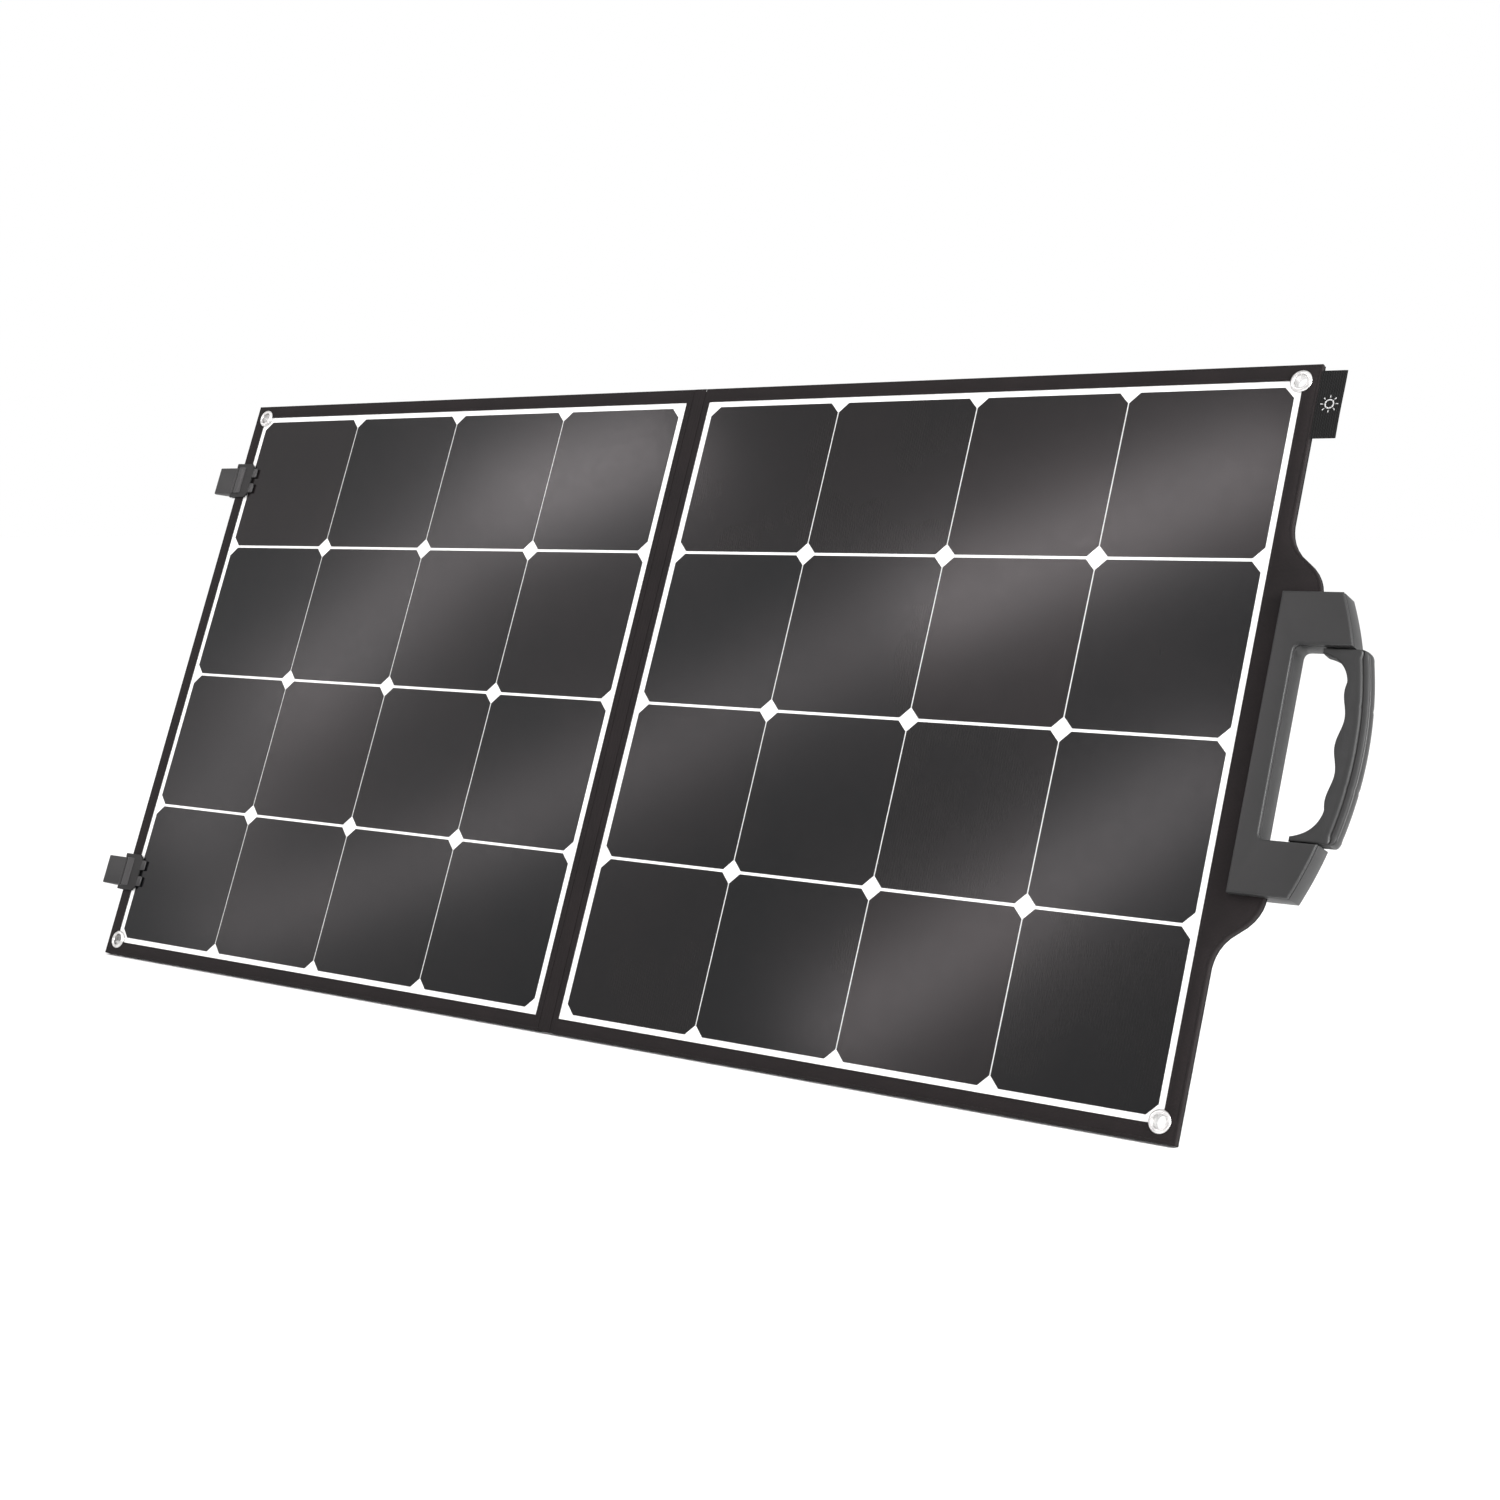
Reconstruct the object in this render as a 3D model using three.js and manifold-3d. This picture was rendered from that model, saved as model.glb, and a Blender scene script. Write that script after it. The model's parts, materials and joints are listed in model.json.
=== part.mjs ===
// Folding solar panel with two leaves, carrying handle, clip latches and a kickstand behind each leaf.
// It stands open on its bottom edge and its two feet. Millimetres, +Z up, +X along the panel.
//
// Almost everything is placed in the panel's own frame: x runs along the panel from the fold line,
// y up the panel from its bottom edge, and z out of its front face.
import * as THREE from 'three';
import { mergeVertices } from 'three/addons/utils/BufferGeometryUtils.js';
import Module from 'manifold-3d';

const wasm = await Module();
wasm.setup();

// ---- driving dimensions ----
const LEAN = 21.6; // degrees that the open panel leans back from upright
const CELL_PITCH = 127;
const CELL = 125; // a 125 mm square cell, with its corners cut
const CELL_CHAMFER = 7.8;
const CELL_COUNT = 4; // each way on each leaf
const LEAF_REACH = 541; // fold line to the leaf's outer edge
const LEAF_HEIGHT = 539;
const MIDDLE = LEAF_HEIGHT / 2;
const FIRST_COLUMN = 16.8; // fold line to the first column line of the cells
const BORDER = 12; // width of the border along the edges
const FOLD_GAP = 6; // fold line to where a leaf's own border starts
const BOARD_START = 14; // fold line to the stiff board
const HEM = 1.8; // the border fabric folded round the leaf's edge
const SHEET_INSET = 2.2; // leaf's edge to the board and the laminate
const STRING_TAB = 4; // half the width of the tab between two cells

const COVER = [-5.0, -4.4]; // the layers, back to front
const BOARD = [-4.1, -1.9];
const LAMINATE = [-1.6, -0.3];
const CELLS = [-0.1, 0.2];
const SHEET = [0, 0.6];

// Tongue on the right leaf's outer edge, from its root towards its middle. Each point is an x and a
// distance from the leaf's middle.
const TONGUE = {
  root: [LEAF_REACH, 152],
  rootBend: [LEAF_REACH + 1, 138],
  shoulder: [553, 129],
  shoulderBend: [569, 119],
  side: [570, 104],
  sideEnd: [570, 82],
  step: [556.5, 74],
};

const EYELET = {
  x: 527.5, // fold line to an eyelet's centre
  lowY: 13.7,
  highY: 526.5,
  hole: 4.7,
  barrel: 5.2,
  flange: 8.1,
  bore: 5.6, // clearance hole in the fabric and the board
  tail: -6.1,
  washerHole: 5.5,
  washer: -5.3, // washer's front face
};
const CONDUCTOR = { y: [250, 280], z: [-3.2, -2.8], reach: 13.6 };
const LABEL = { end: 559.8, y: [484, 534], z: [-0.4, 0.4] };

const HANDLE = {
  start: 545.4, // fold line to the housing's inner edge
  half: 103.5, // half the housing's height
  openingStart: 560.5,
  openingHalf: 66.5,
  cornerRadius: 5,
  arcCentre: 354.5, // the outer edges of the prongs and the grip share this centre
  prongRadius: 255.6,
  front: 7,
  back: -15,
  split: [3.9, 4.2], // body below, front shell above
  spineSlot: { end: 557.2, half: 110 }, // slot that holds the tongue
  prongSlot: { end: 570.6, start: 73.2 },
  hollow: { x: [574, 594.5], span: [71, 80], floor: -12.4 },
  screwX: 551,
  screwSpots: [-88, -30, 30, 88],
  screwHole: 1.9,
  screwSink: 3.6,
  screwShank: 1.5,
  screwHead: { radius: 3.2, bottom: -14.6, top: -12.7 },
  screwTip: 5.6,
  bossFloor: 6,
};
const GRIP = {
  half: 65.5,
  earStart: 580,
  earWidth: 3.5,
  earBend: [597, 58.5], // the inner edge swings from the ears to the bar round this point
  barStart: 601,
  barHalf: 44,
  wave: 1.7, // height of the finger rests
  wavePitch: 37,
  radius: 265,
  corner: 6,
  cornerReach: 5.6,
  cornerBend: 0.8,
  pivotX: 590,
  pivotZ: -4,
  front: 3.6,
  back: -12,
  split: [0.6, 0.9],
  pin: 2.4,
  pinHole: 2.7,
  pinStart: 60.6,
  pinHead: { radius: 4, from: 71.5, to: 73.8 },
};
const LATCH = {
  offset: 193, // from the leaf's middle
  axisX: -545.5,
  axisZ: 0.6,
  barrel: 2.4,
  half: 13, // half the flap's height
  lugHalf: 16.8,
  reach: 26.5, // axis to the free end
  front: 1.4, // flap's face in front of the axis
  depth: 9.6, // thick end behind the axis
  wall: 1.2, // of the base, round the leaf's edge
  plateEnd: -523,
  plateCorner: [3, 4],
  frontPlate: [0.9, 2.9],
  backPlate: [-7.2, -5.3],
  ridge: { end: -534, z: [2.4, 4.1] },
  pad: { x: [-524, -517.5], z: [0.9, 2.4], half: 4.6, offset: 7.5 },
  pin: 1,
  pinHole: 1.3,
};
const STAND = {
  centre: 240, // fold line to the leg's centreline
  hingeY: 400,
  axisZ: -9.5,
  barrel: 3.9,
  pin: 1.8,
  length: 384, // axis to the foot's sole
  topHalf: 62,
  bottomHalf: 82,
  thickness: 3.6,
  footStart: 372.4,
  strapOnLeaf: 150,
  strapOnLeg: 250,
  strapWidth: 25,
  strapThickness: 1.4,
  strapMargin: 0.9, // gap at each end of the strap
  lugStart: 50.4,
  barrelHalf: 49.9,
  plate: { start: 6, end: 34, z: [-7.8, -5.3] }, // above the axis
  lugArm: 9,
  shoulder: [6, 14], // where the leg widens, below the axis
  soleFront: 3.7,
  soleBack: -7,
  soleHeel: 3,
  soleHeelZ: -4,
};
const BOX = {
  x: [70, 166],
  y: [440, 500],
  base: [-17, -5.3],
  lid: [-19.6, -17.3],
  wall: 2,
  board: [-9.4, -7.8],
  boardMargin: 6,
  boardStart: 18,
};
const SOCKET = { z: -12, bore: 4.6, body: 4.2, collar: 5.6, recess: 2.2, front: -13, inside: 12 };
const POCKET = { x: [345, 515], y: [50, 220], z: [-17, -5.3], corner: 16 };
const SLIDER = { start: 361, end: 370, y: 190, half: 4, z: [-20.3, -17.4] };
const CLEARANCE = 0.3;

// ---- where the stand's foot meets the ground ----
const lean = THREE.MathUtils.degToRad(LEAN);
const upOf = (y, z) => y * Math.cos(lean) + z * Math.sin(lean);
const GROUND = upOf(0, COVER[0]);
const hingeHeight = upOf(STAND.hingeY, STAND.axisZ) - GROUND;
const legTilt = Math.acos(hingeHeight / STAND.length); // from upright
const opening = lean + legTilt;

// ---- materials ----
const paint = (color, roughness, metalness = 0) =>
  new THREE.MeshStandardMaterial({ color, roughness, metalness });
const FABRIC = paint(0x2b2627, 0.9);
const COVER_FABRIC = paint(0x242223, 0.95);
const SILICON = paint(0x3e3b3c, 0.25);
const BACKSHEET = paint(0xf6f6f6, 0.4);
const FIBREBOARD = paint(0xb9ae92, 0.8);
const PLASTIC = paint(0x47474a, 0.5);
const DARK_PLASTIC = paint(0x1d1d1f, 0.5);
const NICKEL = paint(0xc9cacc, 0.25, 1);
const STEEL = paint(0x9a9da1, 0.35, 1);
const RUBBER = paint(0x141415, 0.85);
const WEBBING = paint(0x1a1a1b, 0.9);
const COPPER = paint(0xb87a4b, 0.35, 1);
const CIRCUIT = paint(0x1f5a38, 0.5);

// ---- solids ----
function solidOf(geometry) {
  const bare = new THREE.BufferGeometry();
  const loose = geometry.index ? geometry.toNonIndexed() : geometry;
  bare.setAttribute('position', loose.getAttribute('position').clone());
  const merged = mergeVertices(bare, 1e-3);
  return new wasm.Manifold(
    new wasm.Mesh({
      numProp: 3,
      vertProperties: merged.attributes.position.array,
      triVerts: new Uint32Array(merged.index.array),
    }),
  );
}

function geometryOf(solid) {
  const { vertProperties, triVerts } = solid.getMesh();
  const geometry = new THREE.BufferGeometry();
  geometry.setAttribute('position', new THREE.BufferAttribute(vertProperties, 3));
  geometry.setIndex(new THREE.BufferAttribute(triVerts, 1));
  return geometry;
}

const joined = (first, ...others) =>
  geometryOf(others.reduce((whole, g) => whole.add(solidOf(g)), solidOf(first)));
const cut = (first, ...others) =>
  geometryOf(others.reduce((whole, g) => whole.subtract(solidOf(g)), solidOf(first)));

function block([x0, x1], [y0, y1], [z0, z1]) {
  const geometry = new THREE.BoxGeometry(x1 - x0, y1 - y0, z1 - z0);
  return geometry.translate((x0 + x1) / 2, (y0 + y1) / 2, (z0 + z1) / 2);
}

// A flat shape drawn in x and y, from z0 to z1.
function plate(shape, [z0, z1], curveSegments = 8) {
  const options = { depth: z1 - z0, bevelEnabled: false, curveSegments };
  return new THREE.ExtrudeGeometry(shape, options).translate(0, 0, z0);
}

// A profile drawn in z and y, from x0 to x1.
function profileAlongX(points, [x0, x1]) {
  const shape = new THREE.Shape(points.map(([y, z]) => new THREE.Vector2(-z, y)));
  const geometry = plate(shape, [x0, x1]);
  return geometry.rotateY(Math.PI / 2);
}

function rod(radius, length, sides = 20) {
  return new THREE.CylinderGeometry(radius, radius, length, sides);
}
const rodAlongY = (radius, x, [y0, y1], z, sides) =>
  rod(radius, y1 - y0, sides).translate(x, (y0 + y1) / 2, z);
const rodAlongX = (radius, [x0, x1], y, z, sides) =>
  rod(radius, x1 - x0, sides).rotateZ(Math.PI / 2).translate((x0 + x1) / 2, y, z);
const rodAlongZ = (radius, x, y, [z0, z1], sides) =>
  rod(radius, z1 - z0, sides).rotateX(Math.PI / 2).translate(x, y, (z0 + z1) / 2);

// A closed ring or stepped pin turned about z, from points of radius and height.
function turned(points, sides = 24) {
  const profile = points.map(([r, z]) => new THREE.Vector2(r, z));
  return new THREE.LatheGeometry(profile, sides).rotateX(Math.PI / 2);
}

function add(group, name, geometry, material) {
  const mesh = new THREE.Mesh(geometry, material);
  mesh.name = name;
  group.add(mesh);
  return mesh;
}

// ---- outlines ----
const eyeletCentre = (side, high) => [side * EYELET.x, high ? EYELET.highY : EYELET.lowY];
// The stretch of y between two distances from the leaf's middle, above it for end 1 and below it for -1.
const stretch = (end, near, far) =>
  end > 0 ? [MIDDLE + near, MIDDLE + far] : [MIDDLE - far, MIDDLE - near];

function leftOutline() {
  const shape = new THREE.Shape();
  shape.moveTo(-FOLD_GAP, 0);
  shape.lineTo(-FOLD_GAP, LEAF_HEIGHT);
  shape.lineTo(-LEAF_REACH, LEAF_HEIGHT);
  shape.lineTo(-LEAF_REACH, 0);
  shape.closePath();
  return shape;
}

// The right leaf has a tongue on its outer edge that runs into the handle's housing.
function rightOutline() {
  const { root, rootBend, shoulder, shoulderBend, side, sideEnd, step } = TONGUE;
  const low = ([x, reach]) => [x, MIDDLE - reach];
  const high = ([x, reach]) => [x, MIDDLE + reach];
  const shape = new THREE.Shape();
  shape.moveTo(FOLD_GAP, 0);
  shape.lineTo(LEAF_REACH, 0);
  shape.lineTo(...low(root));
  shape.quadraticCurveTo(...low(rootBend), ...low(shoulder));
  shape.quadraticCurveTo(...low(shoulderBend), ...low(side));
  shape.lineTo(...low(sideEnd));
  shape.lineTo(...low(step));
  shape.lineTo(...high(step));
  shape.lineTo(...high(sideEnd));
  shape.lineTo(...high(side));
  shape.quadraticCurveTo(...high(shoulderBend), ...high(shoulder));
  shape.quadraticCurveTo(...high(rootBend), ...high(root));
  shape.lineTo(LEAF_REACH, LEAF_HEIGHT);
  shape.lineTo(FOLD_GAP, LEAF_HEIGHT);
  shape.closePath();
  return shape;
}

// ---- layers of one leaf; side is -1 for the left leaf and 1 for the right ----
const span = (side, near, far) => (side < 0 ? [-far, -near] : [near, far]);

function eyeletBores(side, [z0, z1]) {
  return [false, true].map((high) =>
    rodAlongZ(EYELET.bore, ...eyeletCentre(side, high), [z0 - 1, z1 + 1]),
  );
}

function tongueHoles(side) {
  if (side < 0) return [];
  return HANDLE.screwSpots.map((spot) =>
    rodAlongZ(HANDLE.screwHole, HANDLE.screwX, MIDDLE + spot, [COVER[0] - 1, SHEET[1] + 1], 12),
  );
}

function borderGeometry(side) {
  const outline = side < 0 ? leftOutline() : rightOutline();
  const inside = block(
    span(side, FOLD_GAP - 1, LEAF_REACH - HEM),
    [HEM, LEAF_HEIGHT - HEM],
    [BOARD[0] - 1, SHEET[0]],
  );
  const window = block(
    span(side, BORDER, LEAF_REACH - BORDER),
    [BORDER, LEAF_HEIGHT - BORDER],
    [-1, SHEET[1] + 1],
  );
  const bores = eyeletBores(side, [BOARD[0], SHEET[1]]);
  return cut(plate(outline, [BOARD[0], SHEET[1]]), inside, window, ...bores, ...tongueHoles(side));
}

function coverGeometry(side) {
  const outline = side < 0 ? leftOutline() : rightOutline();
  return cut(plate(outline, COVER), ...eyeletBores(side, COVER), ...tongueHoles(side));
}

function innerSheet(side, near, [z0, z1]) {
  const across = span(side, near, LEAF_REACH - SHEET_INSET);
  const sheet = block(across, [SHEET_INSET, LEAF_HEIGHT - SHEET_INSET], [z0, z1]);
  return cut(sheet, ...eyeletBores(side, [z0, z1]));
}

// A string is a column of cells with cut corners, joined by a narrow tab in the middle of each gap.
function stringShape(x) {
  const half = CELL / 2;
  const rightSide = [];
  for (let row = 0; row < CELL_COUNT; row += 1) {
    const y = MIDDLE + (row - (CELL_COUNT - 1) / 2) * CELL_PITCH;
    rightSide.push([STRING_TAB, y - half]);
    rightSide.push([half - CELL_CHAMFER, y - half]);
    rightSide.push([half, y - half + CELL_CHAMFER]);
    rightSide.push([half, y + half - CELL_CHAMFER]);
    rightSide.push([half - CELL_CHAMFER, y + half]);
    rightSide.push([STRING_TAB, y + half]);
  }
  const loop = [
    ...rightSide.map(([dx, y]) => [x + dx, y]),
    ...rightSide.reverse().map(([dx, y]) => [x - dx, y]),
  ];
  return new THREE.Shape(loop.map((point) => new THREE.Vector2(...point)));
}

function addEyelet(group, name, side, high) {
  const [x, y] = eyeletCentre(side, high);
  const { hole, barrel, flange, tail, washerHole, washer } = EYELET;
  const ring = turned([
    [hole, tail],
    [barrel, tail],
    [barrel, SHEET[1] + 0.3],
    [flange, SHEET[1] + 0.3],
    [flange - 0.3, SHEET[1] + 0.9],
    [flange - 1.6, SHEET[1] + 1.5],
    [hole + 0.7, SHEET[1] + 1.3],
    [hole, SHEET[1] + 0.6],
    [hole, tail],
  ]);
  add(group, `${name}_eyelet`, ring.translate(x, y, 0), NICKEL);
  const back = turned([
    [washerHole, tail],
    [flange - 0.6, tail],
    [flange, washer],
    [washerHole, washer],
    [washerHole, tail],
  ]);
  add(group, `${name}_eyelet_washer`, back.translate(x, y, 0), NICKEL);
}

function addLeaf(group, name, side) {
  add(group, `${name}_back_cover`, coverGeometry(side), COVER_FABRIC);
  add(group, `${name}_board`, innerSheet(side, BOARD_START, BOARD), FIBREBOARD);
  add(group, `${name}_laminate`, innerSheet(side, BORDER - 3, LAMINATE), BACKSHEET);
  add(group, `${name}_border`, borderGeometry(side), FABRIC);
  for (let column = 0; column < CELL_COUNT; column += 1) {
    const x = side * (FIRST_COLUMN + (column + 0.5) * CELL_PITCH);
    const cells = plate(stringShape(x), CELLS);
    add(group, `${name}_cell_string_${column + 1}`, cells, SILICON);
  }
  addEyelet(group, `${name}_lower`, side, false);
  addEyelet(group, `${name}_upper`, side, true);
}

// ---- fold ----
function addFold(group) {
  const across = [-FOLD_GAP + CLEARANCE, FOLD_GAP - CLEARANCE];
  const along = [1, LEAF_HEIGHT - 1];
  add(group, 'fold_front_strip', block(across, along, SHEET), FABRIC);
  add(group, 'fold_back_strip', block(across, along, COVER), COVER_FABRIC);
  const { y, z, reach } = CONDUCTOR;
  add(group, 'fold_conductor', block([-reach, reach], y, z), COPPER);
}

// ---- handle: housing body, front shell, screws ----
function housingShape() {
  const { start, half, openingStart, openingHalf, cornerRadius, arcCentre, prongRadius } = HANDLE;
  const shape = new THREE.Shape();
  const at = (x, fromMiddle) => [x, MIDDLE + fromMiddle];
  const turn = Math.asin(half / prongRadius);
  const tip = Math.asin((openingHalf + 0.7) / prongRadius);
  const tipX = arcCentre + prongRadius * Math.cos(tip);
  shape.moveTo(...at(start, -half));
  shape.lineTo(...at(arcCentre + prongRadius * Math.cos(turn), -half));
  shape.absarc(...at(arcCentre, 0), prongRadius, -turn, -tip, false);
  shape.lineTo(...at(tipX - 1, -openingHalf));
  shape.lineTo(...at(openingStart + cornerRadius, -openingHalf));
  shape.quadraticCurveTo(
    ...at(openingStart, -openingHalf),
    ...at(openingStart, cornerRadius - openingHalf),
  );
  shape.lineTo(...at(openingStart, openingHalf - cornerRadius));
  shape.quadraticCurveTo(
    ...at(openingStart, openingHalf),
    ...at(openingStart + cornerRadius, openingHalf),
  );
  shape.lineTo(...at(tipX - 1, openingHalf));
  shape.absarc(...at(arcCentre, 0), prongRadius, tip, turn, false);
  shape.lineTo(...at(start, half));
  shape.closePath();
  return shape;
}

// The slot that holds the tongue, open towards the leaf and at both ends of the housing.
function tongueSlot() {
  const slot = [COVER[0] - CLEARANCE, SHEET[1] + CLEARANCE];
  const { start, spineSlot, prongSlot } = HANDLE;
  const spine = block([start - 5, spineSlot.end], [MIDDLE - spineSlot.half, MIDDLE + spineSlot.half], slot);
  const prongs = [-1, 1].map((end) =>
    block([start - 5, prongSlot.end], stretch(end, prongSlot.start, spineSlot.half), slot),
  );
  return joined(spine, ...prongs);
}

// The hollow in a prong, open to the front, where the grip's pin has its head.
function prongHollow(end) {
  const { x, span: [near, far], floor } = HANDLE.hollow;
  return block(x, stretch(end, near, far), [floor, HANDLE.split[0] + 1]);
}

function addHandle(group) {
  const { front, back, split, screwX, screwSpots, screwHole, screwSink, hollow, bossFloor } = HANDLE;
  const pinHoles = rodAlongY(GRIP.pinHole, GRIP.pivotX, [MIDDLE - 72, MIDDLE + 72], GRIP.pivotZ);
  const rodsAtScrews = (radius, reach, sides) =>
    screwSpots.map((spot) => rodAlongZ(radius, screwX, MIDDLE + spot, reach, sides));
  const body = cut(
    plate(housingShape(), [back, split[0]]),
    tongueSlot(),
    prongHollow(-1),
    prongHollow(1),
    pinHoles,
    ...rodsAtScrews(screwHole, [back - 1, split[0] + 1], 12),
    ...rodsAtScrews(screwSink, [back - 1, hollow.floor], 16),
  );
  add(group, 'handle_body', body, PLASTIC);
  const bosses = rodsAtScrews(screwHole, [split[1] - 1, bossFloor], 12);
  add(group, 'handle_front_shell', cut(plate(housingShape(), [split[1], front]), ...bosses), PLASTIC);
  addHandleScrews(group);
  addGripPin(group, 'lower_grip_pin', -1);
  addGripPin(group, 'upper_grip_pin', 1);
}

function addHandleScrews(group) {
  const { screwX, screwSpots, screwShank, screwHead, screwTip } = HANDLE;
  screwSpots.forEach((spot, index) => {
    const screw = turned([
      [0, screwHead.bottom],
      [screwHead.radius, screwHead.bottom],
      [screwHead.radius, screwHead.top],
      [screwShank, screwHead.top],
      [screwShank, screwTip],
      [0, screwTip],
    ], 12);
    add(group, `handle_screw_${index + 1}`, screw.translate(screwX, MIDDLE + spot, 0), STEEL);
  });
}

// A headed pin between a prong and the grip, above the leaf's middle for end 1 and below it for -1.
function addGripPin(group, name, end) {
  const { pin, pinStart, pinHead, pivotX, pivotZ } = GRIP;
  const solid = turned([
    [0, pinStart],
    [pin, pinStart],
    [pin, pinHead.from],
    [pinHead.radius, pinHead.from],
    [pinHead.radius, pinHead.to],
    [0, pinHead.to],
  ], 16);
  solid.rotateX((-end * Math.PI) / 2);
  add(group, name, solid.translate(pivotX, MIDDLE, pivotZ), STEEL);
}

// The grip's inner edge swings in to the pivots at both ends, and has three finger rests between them.
function gripShape() {
  const { half, earStart, earWidth, earBend, barStart, barHalf, wave, wavePitch, radius } = GRIP;
  const { corner, cornerReach, cornerBend } = GRIP;
  const shape = new THREE.Shape();
  const at = (x, fromMiddle) => [x, MIDDLE + fromMiddle];
  const edge = Math.asin((half - corner) / radius);
  const edgeX = HANDLE.arcCentre + radius * Math.cos(edge);
  const [bendX, bendY] = earBend;
  shape.moveTo(...at(earStart, -half));
  shape.lineTo(...at(edgeX - cornerReach, -half));
  shape.quadraticCurveTo(...at(edgeX - cornerBend, -half), ...at(edgeX, -half + corner));
  shape.absarc(...at(HANDLE.arcCentre, 0), radius, -edge, edge, false);
  shape.quadraticCurveTo(...at(edgeX - cornerBend, half), ...at(edgeX - cornerReach, half));
  shape.lineTo(...at(earStart, half));
  shape.lineTo(...at(earStart, half - earWidth));
  shape.quadraticCurveTo(...at(bendX, bendY), ...at(barStart - 1, barHalf));
  const steps = 24;
  for (let step = 1; step < steps; step += 1) {
    const fromMiddle = barHalf - (2 * barHalf * step) / steps;
    const ripple = Math.cos((fromMiddle / wavePitch) * 2 * Math.PI) * wave;
    shape.lineTo(...at(barStart - ripple, fromMiddle));
  }
  shape.lineTo(...at(barStart - 1, -barHalf));
  shape.quadraticCurveTo(...at(bendX, -bendY), ...at(earStart, -half + earWidth));
  shape.closePath();
  return shape;
}

function addGrip(group) {
  const { front, back, split, half, pinStart, pinHole, pivotX, pivotZ } = GRIP;
  const holes = [-1, 1].map((end) =>
    rodAlongY(pinHole, pivotX, stretch(end, pinStart - 0.6, half + 1), pivotZ),
  );
  add(group, 'grip_back_shell', cut(plate(gripShape(), [back, split[0]]), ...holes), PLASTIC);
  add(group, 'grip_front_shell', plate(gripShape(), [split[1], front]), PLASTIC);
}

// ---- clip latch: base on the leaf's edge, pin and hinged flap ----
function addLatchBase(group, name, y) {
  const { axisX, axisZ, barrel, half, lugHalf, wall, plateEnd, plateCorner, ridge, pad } = LATCH;
  const { frontPlate, backPlate, pin, pinHole } = LATCH;
  const all = [y - lugHalf, y + lugHalf];
  const middle = [y - half, y + half];
  const edge = -LEAF_REACH - CLEARANCE;
  const [cornerX, cornerY] = plateCorner;
  const strip = new THREE.Shape([
    new THREE.Vector2(edge - wall, all[0]),
    new THREE.Vector2(plateEnd - cornerX, all[0]),
    new THREE.Vector2(plateEnd, all[0] + cornerY),
    new THREE.Vector2(plateEnd, all[1] - cornerY),
    new THREE.Vector2(plateEnd - cornerX, all[1]),
    new THREE.Vector2(edge - wall, all[1]),
  ]);
  const pads = [-pad.offset, pad.offset].map((offset) =>
    block(pad.x, [y + offset - pad.half, y + offset + pad.half], pad.z),
  );
  const lugs = [-1, 1].map((end) => {
    const reach = [y + end * (half + CLEARANCE), y + end * lugHalf].sort((a, b) => a - b);
    const bridge = block([axisX, edge], reach, [axisZ - barrel, axisZ + barrel]);
    return joined(rodAlongY(barrel, axisX, reach, axisZ), bridge);
  });
  const base = joined(
    plate(strip, frontPlate),
    plate(strip, backPlate),
    block([edge - wall, edge], all, [backPlate[0], frontPlate[1]]),
    block([edge - wall, ridge.end], middle, ridge.z),
    ...pads,
    ...lugs,
  );
  const hole = rodAlongY(pinHole, axisX, [all[0] - 1, all[1] + 1], axisZ, 12);
  add(group, `${name}_latch_base`, cut(base, hole), DARK_PLASTIC);
  add(group, `${name}_latch_pin`, rodAlongY(pin, axisX, all, axisZ, 12), STEEL);
}

// The flap is thick at its hinge and thins towards a rounded free end.
function addLatchFlap(group, name, y) {
  const { axisX, axisZ, barrel, half, reach, front, depth, pinHole } = LATCH;
  const tip = axisX - reach;
  const face = axisZ + front;
  const heel = axisZ - depth;
  const shape = new THREE.Shape();
  shape.moveTo(axisX - 1.5, face);
  shape.lineTo(tip + 3, face);
  shape.quadraticCurveTo(tip, face, tip, face - 3.2);
  shape.quadraticCurveTo(tip + 9, heel + 4, axisX - 6, heel);
  shape.lineTo(axisX - 3.4, heel + 1);
  shape.lineTo(axisX - 1.5, axisZ - 1);
  shape.closePath();
  const range = [y - half, y + half];
  const hole = rodAlongY(pinHole, axisX, [range[0] - 1, range[1] + 1], axisZ, 12);
  const wedge = plate(shape, [-range[1], -range[0]], 6).rotateX(Math.PI / 2);
  const flap = cut(joined(wedge, rodAlongY(barrel, axisX, range, axisZ)), hole);
  add(group, `${name}_latch_flap`, flap, DARK_PLASTIC);
}

// ---- kickstand ----
function addStandHinge(group, name, x) {
  const { hingeY, axisZ, barrel, pin, topHalf, lugStart, lugArm, plate: fixed } = STAND;
  const wide = [x - topHalf, x + topHalf];
  const lugs = [-1, 1].map((end) => {
    const reach = [x + end * lugStart, x + end * topHalf].sort((a, b) => a - b);
    const arm = block(reach, [hingeY, hingeY + lugArm], [axisZ - 1, fixed.z[1]]);
    return joined(rodAlongX(barrel, reach, hingeY, axisZ), arm);
  });
  const base = block(wide, [hingeY + fixed.start, hingeY + fixed.end], fixed.z);
  const hinge = joined(base, ...lugs);
  const hole = rodAlongX(pin + CLEARANCE, [wide[0] - 1, wide[1] + 1], hingeY, axisZ);
  add(group, `${name}_stand_hinge`, cut(hinge, hole), DARK_PLASTIC);
  add(group, `${name}_stand_pin`, rodAlongX(pin, [wide[0] + 1, wide[1] - 1], hingeY, axisZ), STEEL);
}

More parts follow.
